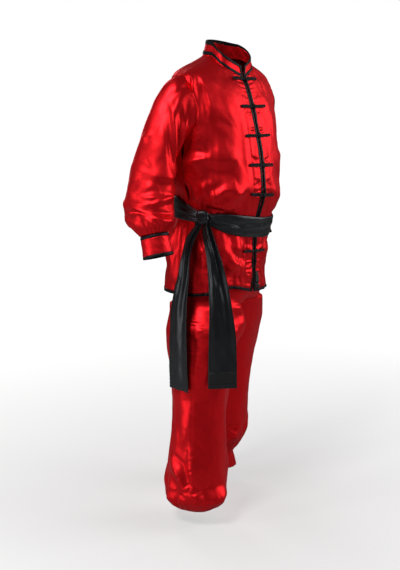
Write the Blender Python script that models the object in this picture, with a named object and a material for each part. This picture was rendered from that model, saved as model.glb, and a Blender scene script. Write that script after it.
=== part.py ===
"""Tai chi uniform of satin: a stand-collar jacket with frog fastenings, trousers with elastic ankles and a sash.

The set keeps the hollow form of a standing wearer. The front faces -Y, the wearer's right is -X and +Z is up.
The origin is at the middle of the neck, at the height where the jacket rests on the shoulders.
"""

import math

import bpy
import numpy as np

# Driving sizes in metres. Heights are above the floor that a wearer 1.76 m tall would stand on.
NECK_HEIGHT = 1.460
CLOTH = 0.0020
TRIM = 0.0030
SEAM_GAP = 0.0003
ARMPIT_HEIGHT = 1.220
SHOULDER_HEIGHT = 1.420
NECK_POINT_HEIGHT = 1.481
NECK_PIT_HEIGHT = 1.412
NECK_BACK_HEIGHT = 1.488
HEM_HEIGHT = 0.738
HEM_TRIM = 0.008
EDGE_GAP = 0.0030
EDGE_TRIM = 0.0090
SQUARE = 2.25
LEAN_BACK = 0.25
LEAN_RIGHT = 0.12
HEM_LIFT = 0.024
HEM_LIFT_ANGLE = -34
HEM_LIFT_WIDTH = 24
ARMHOLE_FRONT = math.radians(24)
ARMHOLE_BACK = math.radians(24)
COLLAR_HEIGHT = 0.038
COLLAR_RISE = 0.010
COLLAR_TRIM = 0.009
COLLAR_LEAN = 0.14
COLLAR_FORWARD = 0.20
CUFF_TRIM = 0.009
CUFF_LENGTH = 0.050
CUFF_FLARE = 0.003
FROG_SPACING = 0.0935
FROG_LENGTH = 0.056
FROG_WIDTH = 0.0085
FROG_THICK = 0.0034
FROG_LIFTS = (0.0006, 0.0006, 0.0006, 0.0006, 0.0, 0.0, 0.0006)
KNOT_RADIUS = 0.0062
SASH_STANDOFF = 0.0038
SASH_WRAP_HEIGHT = 0.068
SASH_WIDTH = 0.092
WAIST_CLEAR = 0.014
ARMHOLE_ROWS = 9
LEG_COLUMNS = 20

# Sections of the jacket, each a ring round the torso. lean tilts a ring up towards the wearer's back and right.
JACKET = (
    # height, half_width, front, back, centre_x, centre_y, turn, lean
    (0.700, 0.193, 0.147, 0.143, -0.012, 0.015, 8, 0.06),
    (0.738, 0.192, 0.146, 0.142, -0.012, 0.014, 8, 0.08),
    (0.800, 0.189, 0.143, 0.139, -0.012, 0.012, 8, 0.20),
    (0.870, 0.186, 0.140, 0.134, -0.009, 0.007, 7, 0.60),
    (0.922, 0.181, 0.134, 0.127, -0.005, 0.000, 6, 0.95),
    (0.975, 0.177, 0.130, 0.123, 0.000, -0.006, 4, 1.00),
    (1.018, 0.183, 0.140, 0.129, 0.000, -0.009, 3, 0.92),
    (1.062, 0.197, 0.156, 0.137, 0.000, -0.010, 2, 0.65),
    (1.150, 0.203, 0.156, 0.138, 0.000, -0.009, 0, 0.20),
    (1.220, 0.205, 0.145, 0.137, 0.000, -0.007, 0, 0.00),
    (1.300, 0.206, 0.130, 0.134, 0.000, -0.006, 0, 0.00),
    (1.360, 0.207, 0.112, 0.126, 0.000, -0.004, 0, 0.00),
    (1.400, 0.204, 0.095, 0.112, 0.000, -0.003, 0, 0.00),
    (1.420, 0.194, 0.084, 0.101, 0.000, -0.002, 0, 0.00),
    (1.442, 0.156, 0.075, 0.087, 0.000, -0.001, 0, 0.00),
    (1.457, 0.121, 0.067, 0.074, 0.000, 0.000, 0, 0.00),
    (1.470, 0.092, 0.061, 0.063, 0.000, 0.000, 0, 0.00),
    (1.480, 0.072, 0.056, 0.054, 0.000, 0.000, 0, 0.00),
    (1.490, 0.063, 0.053, 0.049, 0.000, 0.000, 0, 0.00),
    (1.505, 0.056, 0.050, 0.046, 0.000, 0.000, 0, 0.00),
)

# Sections of a sleeve: the outer line runs over the shoulder to the cuff and the inner line from the armpit.
SLEEVE = (
    # step, outer_x, outer_height, inner_x, inner_height, centre_y, half_depth
    (0.0, 0.194, 1.420, 0.205, 1.220, 0.000, 0.080),
    (1.0, 0.228, 1.404, 0.211, 1.209, 0.006, 0.076),
    (2.0, 0.256, 1.367, 0.215, 1.194, 0.013, 0.070),
    (3.0, 0.279, 1.316, 0.219, 1.176, 0.019, 0.065),
    (4.0, 0.302, 1.258, 0.222, 1.156, 0.025, 0.063),
    (5.0, 0.322, 1.200, 0.224, 1.133, 0.031, 0.066),
    (6.0, 0.341, 1.142, 0.226, 1.105, 0.034, 0.071),
    (7.0, 0.360, 1.082, 0.230, 1.068, 0.034, 0.074),
    (8.0, 0.377, 1.028, 0.236, 1.026, 0.031, 0.077),
    (9.0, 0.386, 0.992, 0.242, 0.992, 0.021, 0.077),
    (10.0, 0.385, 0.966, 0.252, 0.964, 0.008, 0.068),
    (11.0, 0.373, 0.949, 0.275, 0.946, -0.003, 0.051),
    (12.0, 0.365, 0.937, 0.286, 0.935, -0.009, 0.041),
)
SLEEVE_GATHER = (
    # step, wave, the height of the gathers that the cuff takes in
    (0.0, 0.0),
    (7.0, 0.0),
    (8.0, 0.0008),
    (9.0, 0.0022),
    (10.0, 0.0042),
    (11.0, 0.0048),
    (12.0, 0.0022),
)
CUFF_END = (0.0005, -0.019)
CUFF_DROP = 0.068
LEFT_SLEEVE_BACK = 0.112
LEFT_SLEEVE_IN = 0.022

# Sections of the trousers. The legs stand apart by spread to each side of a middle line, which turns with the hips.
TROUSER_MIDDLE = (
    # height, centre_x, centre_y, turn, spread
    (0.050, -0.005, 0.049, 28, 0.180),
    (0.220, -0.001, 0.045, 27, 0.172),
    (0.430, 0.008, 0.040, 25, 0.150),
    (0.560, 0.008, 0.030, 24, 0.134),
    (0.640, 0.006, 0.022, 21, 0.120),
    (0.690, 0.000, 0.018, 16, 0.108),
    (0.780, -0.010, 0.012, 9, 0.092),
    (0.990, 0.000, -0.004, 5, 0.085),
)
RIGHT_LEG = (
    # height, half_width, half_depth, gather
    (0.046, 0.056, 0.062, 0.0016),
    (0.056, 0.072, 0.080, 0.0050),
    (0.078, 0.087, 0.095, 0.0048),
    (0.112, 0.092, 0.098, 0.0022),
    (0.170, 0.090, 0.095, 0.0),
    (0.225, 0.086, 0.092, 0.0),
    (0.330, 0.083, 0.087, 0.0),
    (0.430, 0.089, 0.094, 0.0),
    (0.560, 0.104, 0.111, 0.0),
    (0.640, 0.110, 0.123, 0.0),
    (0.690, 0.106, 0.128, 0.0),
)
LEFT_LEG = (
    # height, half_width, half_depth, gather
    (0.058, 0.052, 0.058, 0.0040),
    (0.085, 0.046, 0.051, 0.0030),
    (0.112, 0.041, 0.046, 0.0014),
    (0.132, 0.057, 0.062, 0.0046),
    (0.165, 0.076, 0.080, 0.0034),
    (0.220, 0.085, 0.088, 0.0),
    (0.330, 0.085, 0.089, 0.0),
    (0.430, 0.089, 0.094, 0.0),
    (0.560, 0.103, 0.110, 0.0),
    (0.640, 0.110, 0.122, 0.0),
    (0.690, 0.106, 0.128, 0.0),
)
CROTCH_HEIGHT = 0.690
SPREAD_HEIGHT = 0.655
HIP_HEIGHT = 0.744
TROUSER_TOP = 0.985
WAISTBAND = 0.030

# Largest folds of the jacket. A fold is a ridge, or a trough where rise is below 0, from one point to another.
JACKET_FOLDS = (
    # angle_1, height_1, angle_2, height_2, width, rise
    (-78, 1.400, -74, 1.290, 0.011, 0.005),
    (-65, 1.410, -67, 1.275, 0.011, 0.007),
    (-72, 1.370, -71, 1.265, 0.008, -0.006),
    (-88, 1.125, -50, 1.168, 0.015, 0.007),
    (-50, 1.168, -18, 1.155, 0.016, 0.006),
    (-82, 1.105, -30, 1.120, 0.018, -0.006),
    (-70, 1.022, -44, 1.092, 0.012, 0.008),
    (-60, 1.026, -22, 1.082, 0.014, 0.007),
    (-86, 1.080, -88, 1.010, 0.010, -0.006),
    (-78, 0.915, -46, 0.835, 0.010, 0.007),
    (-58, 0.925, -30, 0.825, 0.013, 0.006),
    (-84, 0.920, -80, 0.790, 0.014, -0.006),
    (-28, 0.925, -24, 0.870, 0.011, 0.005),
    (76, 1.400, 72, 1.285, 0.011, 0.006),
    (66, 1.410, 68, 1.270, 0.011, 0.006),
    (84, 1.140, 40, 1.160, 0.017, 0.006),
    (62, 1.012, 30, 1.095, 0.014, 0.007),
    (70, 0.925, 52, 0.810, 0.013, 0.006),
    (34, 0.925, 24, 0.830, 0.013, 0.005),
    (110, 0.930, 122, 0.800, 0.015, 0.006),
    (112, 1.030, 150, 1.130, 0.016, 0.007),
    (112, 1.395, 114, 1.250, 0.012, 0.007),
    (150, 1.330, 120, 1.180, 0.018, 0.005),
    (172, 1.030, 166, 1.180, 0.017, 0.006),
    (180, 0.930, 176, 0.790, 0.016, 0.006),
    (205, 1.030, 224, 1.150, 0.016, 0.007),
    (212, 1.340, 238, 1.190, 0.018, 0.005),
    (247, 1.395, 246, 1.250, 0.012, 0.007),
    (240, 0.930, 228, 0.800, 0.015, 0.006),
)
SLEEVE_FOLDS = (
    # angle_1, step_1, angle_2, step_2, width, rise
    (32, 2.3, 112, 5.6, 0.013, 0.006),
    (68, 1.6, 126, 5.2, 0.012, -0.005),
    (-40, 6.2, 120, 6.4, 0.016, 0.005),
    (-20, 7.4, 80, 7.7, 0.012, 0.006),
    (-58, 8.2, 55, 9.0, 0.011, 0.006),
    (45, 8.4, 128, 8.0, 0.010, 0.005),
    (-150, 7.0, -70, 8.0, 0.014, 0.006),
    (-120, 2.0, -80, 5.4, 0.016, 0.005),
    (176, 5.0, 118, 6.2, 0.013, 0.006),
)
LEG_FOLDS = (
    # angle_1, height_1, angle_2, height_2, width, rise
    (189, 0.640, 163, 0.560, 0.014, 0.006),
    (100, 0.640, 88, 0.540, 0.018, 0.008),
    (209, 0.430, 222, 0.300, 0.020, 0.006),
    (238, 0.205, 188, 0.150, 0.012, 0.008),
    (188, 0.150, 204, 0.080, 0.012, 0.007),
    (182, 0.120, 106, 0.108, 0.011, 0.008),
    (60, 0.600, 100, 0.330, 0.020, -0.006),
    (20, 0.480, 50, 0.250, 0.018, 0.006),
    (60, 0.200, 20, 0.120, 0.014, 0.008),
    (262, 0.600, 300, 0.400, 0.020, 0.006),
    (330, 0.260, 280, 0.140, 0.016, 0.008),
)

# The sash is tied over the wearer's right hip. Its tails hang from the knot, gathered above and spread out below.
KNOT_ANGLE = math.radians(-71)
KNOT_HEIGHT = 0.982
KNOT_STANDOFF = 0.0267
FRONT_TAIL = (
    # drop, x, y, width, fold, facing
    (0.0290, -0.179, -0.091, 0.026, 0.0050, -54),
    (0.065, -0.179, -0.100, 0.035, 0.0065, -48),
    (0.115, -0.171, -0.111, 0.042, 0.0062, -43),
    (0.190, -0.162, -0.121, 0.056, 0.0050, -40),
    (0.270, -0.160, -0.132, 0.069, 0.0040, -40),
    (0.360, -0.159, -0.139, 0.083, 0.0028, -40),
    (0.450, -0.157, -0.139, 0.089, 0.0018, -41),
    (0.535, -0.156, -0.138, 0.091, 0.0012, -42),
)
BACK_TAIL = (
    # drop, x, y, width, fold, facing
    (0.0290, -0.193, -0.068, 0.024, 0.0050, -66),
    (0.065, -0.202, -0.045, 0.036, 0.0070, -80),
    (0.115, -0.208, -0.034, 0.046, 0.0062, -90),
    (0.190, -0.212, -0.027, 0.060, 0.0050, -94),
    (0.270, -0.223, -0.018, 0.076, 0.0038, -97),
    (0.360, -0.233, -0.019, 0.086, 0.0026, -99),
    (0.450, -0.233, -0.020, 0.090, 0.0018, -99),
    (0.545, -0.230, -0.020, 0.091, 0.0012, -98),
)

FINISHES = {
    # colour, roughness
    "red_satin": ((0.62, 0.012, 0.020), 0.34),
    "black_satin": ((0.012, 0.012, 0.014), 0.32),
    "black_braid": ((0.008, 0.008, 0.010), 0.60),
}


def interpolate(rows, where):
    """Each column of a table at these values of its first column, on a smooth curve through its rows."""
    table = np.array(rows, float)
    knots, values = table[:, 0], table[:, 1:]
    slopes = np.gradient(values, knots, axis=0)
    where = np.asarray(where, float)
    index = np.clip(np.searchsorted(knots, where) - 1, 0, len(knots) - 2)
    step = (knots[index + 1] - knots[index])[..., None]
    q = np.clip((where - knots[index])[..., None] / step, 0, 1)
    start = (2 * q**3 - 3 * q**2 + 1) * values[index] + (q**3 - 2 * q**2 + q) * step * slopes[index]
    end = (3 * q**2 - 2 * q**3) * values[index + 1] + (q**3 - q**2) * step * slopes[index + 1]
    return np.moveaxis(start + end, -1, 0)


def unit(vectors):
    """The same directions at length 1."""
    return vectors / np.maximum(np.linalg.norm(vectors, axis=-1, keepdims=True), 1e-12)


def fold_height(folds, across, along, across_scale):
    """Height of the folds at these places. across is in degrees and along in the table's own unit of length."""
    total = np.zeros(np.broadcast(across, along).shape)
    for a1, l1, a2, l2, width, rise in folds:
        run = np.array(((a2 - a1) * across_scale[0], (l2 - l1) * across_scale[1]))
        x = (across - a1) * across_scale[0]
        y = (along - l1) * across_scale[1]
        share = np.clip((x * run[0] + y * run[1]) / run.dot(run), 0, 1)
        distance = np.hypot(x - share * run[0], y - share * run[1])
        taper = np.sin(np.pi * np.clip(share, 0.06, 0.94)) ** 0.7
        total += rise * taper * np.exp(-((distance / width) ** 2))
    return total


def torso(angle, height, out=0.0):
    """A point of the jacket. angle is 0 at the middle of the front and grows towards the wearer's left."""
    angle, height = np.broadcast_arrays(np.asarray(angle, float), np.asarray(height, float))
    half_width, front, back, centre_x, centre_y, turn, lean = interpolate(JACKET, height)
    across = np.sin(angle)
    depth = (1 - np.minimum(np.abs(across), 1) ** SQUARE) ** (1 / SQUARE)
    x = (half_width + out) * across
    y = np.where(np.cos(angle) >= 0, -(front + out), back + out) * depth
    turn = np.radians(turn)
    world_x = centre_x + x * np.cos(turn) - y * np.sin(turn)
    world_y = centre_y + x * np.sin(turn) + y * np.cos(turn)
    world_z = height - NECK_HEIGHT + lean * (LEAN_BACK * world_y - LEAN_RIGHT * world_x)
    degrees = (np.degrees(angle) + 180) % 360 - 180
    lifted = np.exp(-(((degrees - HEM_LIFT_ANGLE) / HEM_LIFT_WIDTH) ** 2))
    world_z = world_z + HEM_LIFT * lifted * np.clip((0.86 - height) / 0.12, 0, 1)
    return np.stack((world_x, world_y, world_z), axis=-1)


def torso_normal(angle, height):
    """Outward unit vector of the jacket."""
    step = 1e-3
    around = torso(angle + step, height) - torso(angle - step, height)
    along = torso(angle, height + step) - torso(angle, height - step)
    return unit(np.cross(around, along))


def jacket_point(angle, height, out=0.0):
    """A point of the jacket with its folds, moved outwards by out."""
    degrees = np.degrees(angle)
    degrees = np.where(degrees > 270, degrees - 360, degrees)
    folds = fold_height(JACKET_FOLDS, degrees, height, (0.0029, 1.0))
    ease = np.clip((SHOULDER_HEIGHT + 0.01 - height) / 0.03, 0, 1)
    return torso(angle, height) + torso_normal(angle, height) * (folds * ease + out)[..., None]


def rows_of_jacket():
    """Heights of the rows at the front edge, at the sides and at the middle of the back, from hem to neck."""
    lower = np.array((HEM_HEIGHT, 0.775, 0.815, 0.850, 0.885, 0.912, 0.937, 0.975, 1.010, 1.030, 1.055, 1.090,
                      1.130, 1.175, ARMPIT_HEIGHT))
    share = np.linspace(0, 1, ARMHOLE_ROWS + 1)[1:]
    armhole = ARMPIT_HEIGHT + (SHOULDER_HEIGHT - ARMPIT_HEIGHT) * share
    seam = SHOULDER_HEIGHT + (NECK_POINT_HEIGHT - SHOULDER_HEIGHT) * np.array((0.3, 0.65, 1.0))
    side = np.concatenate((lower, armhole, seam))
    rise = np.linspace(0, 1, len(side) - len(lower) + 1)[1:]
    front = np.concatenate((lower, ARMPIT_HEIGHT + (NECK_PIT_HEIGHT - ARMPIT_HEIGHT) * rise))
    back = np.concatenate((lower, ARMPIT_HEIGHT + (NECK_BACK_HEIGHT - ARMPIT_HEIGHT) * rise))
    return front, side, back


def armhole_inset(side_height, inset):
    """How far the armhole cuts in from the side, as an angle, at heights between armpit and shoulder."""
    share = np.clip((side_height - ARMPIT_HEIGHT) / (SHOULDER_HEIGHT - ARMPIT_HEIGHT), 0, 1)
    return inset * np.sin(np.pi * share) ** 0.55


def edge_angle(height, offset):
    """Angle at which the jacket lies this far from the middle of the front."""
    return np.arcsin(offset / interpolate(JACKET, height)[0])


def front_grid(columns=9, start=EDGE_GAP + EDGE_TRIM, end=None):
    """Angles and heights of a front: columns from its edge to the side, rows from hem to neck. The left one's."""
    front, side, _ = rows_of_jacket()
    share = np.linspace(0, 1, columns + 1) if end is None else np.array((0.0, 1.0))
    first = edge_angle(front, start)
    last = np.pi / 2 - armhole_inset(side, ARMHOLE_FRONT) if end is None else edge_angle(front, end)
    angle = first[:, None] + (last - first)[:, None] * share
    rise = np.sin(np.pi / 2 * share) ** 0.9 if end is None else np.zeros(2)
    return angle, front[:, None] + (side - front)[:, None] * rise


def back_grid(columns=15):
    """Angles and heights of the back: columns from the left side round to the right one."""
    _, side, back = rows_of_jacket()
    share = np.linspace(0, 1, columns + 1)
    first = np.pi / 2 + armhole_inset(side, ARMHOLE_BACK)
    angle = first[:, None] + (2 * np.pi - 2 * first)[:, None] * share
    rise = np.sin(np.pi * share) ** 0.9
    return angle, side[:, None] + (back - side)[:, None] * rise


def pulled_in(grid, first_row=False, last_row=False, first_column=False, last_column=False):
    """The grid with these edges moved inwards by half a seam's gap."""
    grid = grid.copy()
    half = SEAM_GAP / 2
    if first_row:
        grid[0] += unit(grid[1] - grid[0]) * half
    if last_row:
        grid[-1] += unit(grid[-2] - grid[-1]) * half
    if first_column:
        grid[:, 0] += unit(grid[:, 1] - grid[:, 0]) * half
    if last_column:
        grid[:, -1] += unit(grid[:, -2] - grid[:, -1]) * half
    return grid


def grid_inward(grid, closed=False):
    """Unit vectors square to a grid, to the side on which the cross product of its rows and columns falls."""
    along = np.gradient(grid, axis=0)
    around = np.gradient(grid, axis=1)
    if closed:
        around[:, 0] = around[:, -1] = (grid[:, 1] - grid[:, -2]) / 2
    return unit(np.cross(along, around))


def finish(name):
    """The material of this name, made once."""
    material = bpy.data.materials.get(name)
    if material is None:
        colour, roughness = FINISHES[name]
        material = bpy.data.materials.new(name)
        material.use_nodes = True
        shader = material.node_tree.nodes["Principled BSDF"]
        shader.inputs["Base Color"].default_value = (*colour, 1)
        shader.inputs["Roughness"].default_value = roughness
        material.diffuse_color = (*colour, 1)
    return material


def mesh_object(name, points, faces, material):
    """A closed mesh as an object of the uniform, with its faces turned outwards."""
    mesh = bpy.data.meshes.new(name)
    mesh.from_pydata([tuple(p) for p in points], [], faces)
    import_bmesh(mesh)
    mesh.materials.append(finish(material))
    obj = bpy.data.objects.new(name, mesh)
    bpy.data.collections["tai_chi_uniform"].objects.link(obj)
    return obj


def import_bmesh(mesh):
    """Turns a closed mesh's faces outwards and shades it smooth but for its rims."""
    import bmesh

    work = bmesh.new()
    work.from_mesh(mesh)
    bmesh.ops.recalc_face_normals(work, faces=work.faces)
    work.to_mesh(mesh)
    work.free()
    mesh.shade_smooth()
    mesh.set_sharp_from_angle(angle=math.radians(50))


def wall(name, outer, inner, material, closed_from=None):
    """A wall of cloth between two grids. From row closed_from on, a row is a ring whose last column is its first."""
    rows, columns = outer.shape[:2]
    index = np.arange(rows * columns).reshape(rows, columns)
    closed_from = rows if closed_from is None else closed_from
    index[closed_from:, -1] = index[closed_from:, 0]
    inside = index + rows * columns
    faces = []
    for r in range(rows - 1):
        for c in range(columns - 1):
            quad = (index[r, c], index[r, c + 1], index[r + 1, c + 1], index[r + 1, c])
            faces.append(quad)
            faces.append(tuple(i + rows * columns for i in reversed(quad)))
    for r in (0, rows - 1):
        for c in range(columns - 1):
            faces.append((index[r, c], inside[r, c], inside[r, c + 1], index[r, c + 1]))
    for r in range(min(closed_from, rows - 1)):
        for c in (0, columns - 1):
            faces.append((index[r, c], index[r + 1, c], inside[r + 1, c], inside[r, c]))
    points = np.concatenate((outer.reshape(-1, 3), inner.reshape(-1, 3)))
    used = sorted({int(i) for face in faces for i in face})
    renumber = {old: new for new, old in enumerate(used)}
    faces = [tuple(renumber[int(i)] for i in face) for face in faces]
    return mesh_object(name, points[used], faces, material)


def armhole(side):
    """Points of the armhole from the shoulder down the front to the armpit and up the back. side is 1 for the left."""
    heights = np.linspace(SHOULDER_HEIGHT, ARMPIT_HEIGHT, ARMHOLE_ROWS + 1)
    front = jacket_point(side * (np.pi / 2 - armhole_inset(heights, ARMHOLE_FRONT)), heights)
    back_angle = np.pi / 2 + armhole_inset(heights, ARMHOLE_BACK)
    back = jacket_point(back_angle if side > 0 else 2 * np.pi - back_angle, heights)
    return np.concatenate((front, back[::-1][1:]))


def armhole_centre(side):
    """Middle of the armhole."""
    return armhole(side)[:-1].mean(axis=0)


def make_jacket_body():
    """Two fronts and a back, which meet at the side and shoulder seams and leave the armholes open."""
    _, side_heights, _ = rows_of_jacket()
    in_armhole = (side_heights > ARMPIT_HEIGHT - 1e-6) & (side_heights < SHOULDER_HEIGHT + 1e-6)
    for name, side in (("jacket_front_right", -1), ("jacket_front_left", 1)):
        angle, height = front_grid()
        outer = jacket_point(side * angle, height)
        inner_way = -torso_normal(side * angle, height)
        inner_way[in_armhole, -1] = unit(armhole_centre(side) - outer[in_armhole, -1])
        outer = pulled_in(outer, True, True, True, True)
        wall(name, outer, outer + inner_way * CLOTH, "red_satin")
    angle, height = back_grid()
    outer = jacket_point(angle, height)
    inner_way = -torso_normal(angle, height)
    inner_way[in_armhole, 0] = unit(armhole_centre(1) - outer[in_armhole, 0])
    inner_way[in_armhole, -1] = unit(armhole_centre(-1) - outer[in_armhole, -1])
    outer = pulled_in(outer, True, True, True, True)
    wall("jacket_back", outer, outer + inner_way * CLOTH, "red_satin")


def strip_below_hem(name, angle, side_heights):
    """The black binding that goes on from the lower edge of a panel."""
    depth = np.array((0.0, -HEM_TRIM))[:, None]
    angles = np.broadcast_to(angle, (2, len(angle)))
    heights = side_heights + depth
    proud = (TRIM - CLOTH) / 2
    outer = jacket_point(angles, heights, proud)
    inner = jacket_point(angles, heights, proud - TRIM)
    outer = pulled_in(outer, True, False, True, True)
    inner = pulled_in(inner, True, False, True, True)
    wall(name, outer, inner, "black_satin")


def make_hem_bindings():
    """Three bindings, one under each panel."""
    angle, height = front_grid()
    strip_below_hem("hem_binding_left", angle[0], height[0])
    strip_below_hem("hem_binding_right", -angle[0], height[0])
    angle, height = back_grid()
    strip_below_hem("hem_binding_back", angle[0], height[0])


def neck_line(angle):
    """Heights of the neckline round the neck."""
    first = edge_angle(np.array(NECK_PIT_HEIGHT), EDGE_GAP + EDGE_TRIM)
    turned = np.arccos(np.clip(np.cos(angle), 0, 1))
    share = np.clip((turned - first) / (np.pi / 2 - first), 0, 1)
    front = NECK_PIT_HEIGHT + (NECK_POINT_HEIGHT - NECK_PIT_HEIGHT) * np.sin(np.pi / 2 * share) ** 0.9
    back = (NECK_BACK_HEIGHT - NECK_POINT_HEIGHT) * np.clip(-np.cos(angle), 0, 1) ** 0.9
    return front + back


def collar_point(angle, rise, out=0.0):
    """A point of the stand collar. rise is the height above the neckline, and out is to the outside."""
    base = torso(angle, neck_line(angle))
    middle = np.array((0.0, -0.004, 0.0))
    spoke = (base - middle) * (1, 1, 0)
    rise = rise * (1 + COLLAR_RISE / COLLAR_HEIGHT * np.clip(0.5 - 0.5 * np.cos(angle), 0, 1))
    back = np.clip(0.3 - 0.7 * np.cos(angle), 0, 1)
    top = unit(spoke) * (out - COLLAR_LEAN * rise)[..., None]
    return base + top + np.stack((0 * rise, -COLLAR_FORWARD * back * rise, rise), axis=-1)


def collar_sweep(offset, columns=24):
    """Angles of the collar from its right front edge round the back to its left one."""
    first = edge_angle(NECK_PIT_HEIGHT, offset)
    share = np.linspace(0, 1, columns + 1)
    return first + (2 * np.pi - 2 * first) * share


def collar_strip(name, low, high, out, thick, material, rows=1, offset=EDGE_GAP + EDGE_TRIM + SEAM_GAP):
    """A strip of the collar between two heights above the neckline, which starts and ends at the front edges."""
    angle = collar_sweep(offset)[None, :]
    rise = np.linspace(low, high, rows + 1)[:, None] + 0 * angle
    angle = angle + 0 * rise
    outer = collar_point(angle, rise, out + 0 * rise)
    inner = collar_point(angle, rise, out - thick + 0 * rise)
    wall(name, outer, inner, material)


def make_collar():
    """The stand collar, the binding on its upper edge and the band that covers its seam."""
    body_top = COLLAR_HEIGHT - COLLAR_TRIM
    collar_strip("collar", SEAM_GAP + 0.0012, body_top, 0.0, CLOTH, "red_satin", 2)
    collar_strip("collar_binding", body_top + SEAM_GAP, COLLAR_HEIGHT, 0.0006, TRIM, "black_satin")
    collar_strip("neck_band", 0.0022, 0.0115, 0.0017, 0.0014, "black_satin")


def make_front_bindings():
    """The black binding of each front edge, from the hem to the top of the collar."""
    front, _, _ = rows_of_jacket()
    proud = (TRIM - CLOTH) / 2
    for name, side in (("edge_binding_right", -1), ("edge_binding_left", 1)):
        angle, height = front_grid(start=EDGE_GAP, end=EDGE_GAP + EDGE_TRIM)
        low = jacket_point(side * angle[:1], height[:1] - HEM_TRIM, proud)
        low_in = jacket_point(side * angle[:1], height[:1] - HEM_TRIM, proud - TRIM)
        outer = jacket_point(side * angle, height, proud)
        inner = jacket_point(side * angle, height, proud - TRIM)
        rise = np.array((0.006, 0.020, COLLAR_HEIGHT))[:, None] + np.zeros((1, 2))
        spread = np.array((0.001, 0.004, 0.008))[:, None]
        offsets = np.array((EDGE_GAP, EDGE_GAP + EDGE_TRIM))[None, :]
        corner = side * edge_angle(np.full((3, 2), NECK_PIT_HEIGHT), offsets)
        slide = np.stack((side * spread + 0 * rise, 0 * rise, 0 * rise), axis=-1)
        up = collar_point(corner, rise, proud + 0 * rise) + slide * (1, 0, 0) * (offsets < EDGE_TRIM)[..., None]
        up_in = collar_point(corner, rise, proud - TRIM + 0 * rise)
        up_in = up_in + slide * (1, 0, 0) * (offsets < EDGE_TRIM)[..., None]
        outer = pulled_in(np.concatenate((low, outer, up)), last_column=True)
        inner = pulled_in(np.concatenate((low_in, inner, up_in)), last_column=True)
        wall(name, outer, inner, "black_satin")


def make_underlap():
    """The red strip behind the two front edges, which shows between them."""
    front, _, _ = rows_of_jacket()
    offsets = np.array((-0.014, 0.0, 0.014))
    angle = np.sign(offsets) * edge_angle(front[:, None], np.abs(offsets))
    height = front[:, None] + np.zeros(3)
    height[-1] -= 0.004
    outer = jacket_point(angle, height, -0.0032)
    inner = jacket_point(angle, height, -0.0046)
    wall("front_underlap", outer, inner, "red_satin")


def front_edge_heights():
    """Heights of the frogs: equal steps along the front edge, from just under the collar down."""
    heights = np.linspace(NECK_PIT_HEIGHT, HEM_HEIGHT, 400)
    edge = jacket_point(np.zeros(400), heights)
    length = np.concatenate(([0], np.cumsum(np.linalg.norm(np.diff(edge, axis=0), axis=1))))
    return np.interp(0.006 + FROG_SPACING * np.arange(7), length, heights)


def make_frogs():
    """Frog fastenings: on the wearer's right a strip that ends in a knot, and on the left the strip of its loop.

    The sixth would lie under the sash and is left out.
    """
    for number, height in enumerate(front_edge_heights(), start=1):
        if number == 6:
            continue
        for part, side in (("knot", -1), ("loop", 1)):
            near = 0.0 if part == "knot" else KNOT_RADIUS + 0.0012
            offsets = np.linspace(near, FROG_LENGTH, 6)
            half_width = np.full(6, FROG_WIDTH / 2)
            half_thick = np.full(6, FROG_THICK / 2)
            if part == "knot":
                offsets = np.array((-0.0055, 0.0, 0.0055, 0.016, 0.036, FROG_LENGTH))
                half_width[:3] = (0.0034, KNOT_RADIUS, 0.0044)
                half_thick[:3] = (0.0018, 0.0040, 0.0026)
            half_width[-1] *= 0.8
            angle = side * np.sign(offsets) * edge_angle(np.full(6, height), np.abs(offsets))
            lift = FROG_LIFTS[number - 1] + half_thick
            centre = jacket_point(angle, np.full(6, height), lift)
            normal = torso_normal(angle, np.full(6, height))
            up = unit(np.cross(unit(np.gradient(centre, axis=0)), normal))
            turns = np.linspace(0, 2 * np.pi, 9)
            ring = centre[:, None] + (half_width[:, None] * np.cos(turns))[..., None] * up[:, None]
            ring = ring + (half_thick[:, None] * np.sin(turns))[..., None] * normal[:, None]
            capped_tube(f"frog_{number}_{part}", ring, "black_braid")


def capped_tube(name, rings, material):
    """A solid through closed rings whose last point is their first, with a flat cap at each end."""
    rows, columns = rings.shape[:2]
    columns -= 1
    points = rings[:, :-1].reshape(-1, 3)
    faces = []
    for r in range(rows - 1):
        for c in range(columns):
            n = (c + 1) % columns
            faces.append((r * columns + c, r * columns + n, (r + 1) * columns + n, (r + 1) * columns + c))
    faces.append(tuple(range(columns)))
    faces.append(tuple((rows - 1) * columns + c for c in range(columns)))
    return mesh_object(name, points, faces, material)


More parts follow.
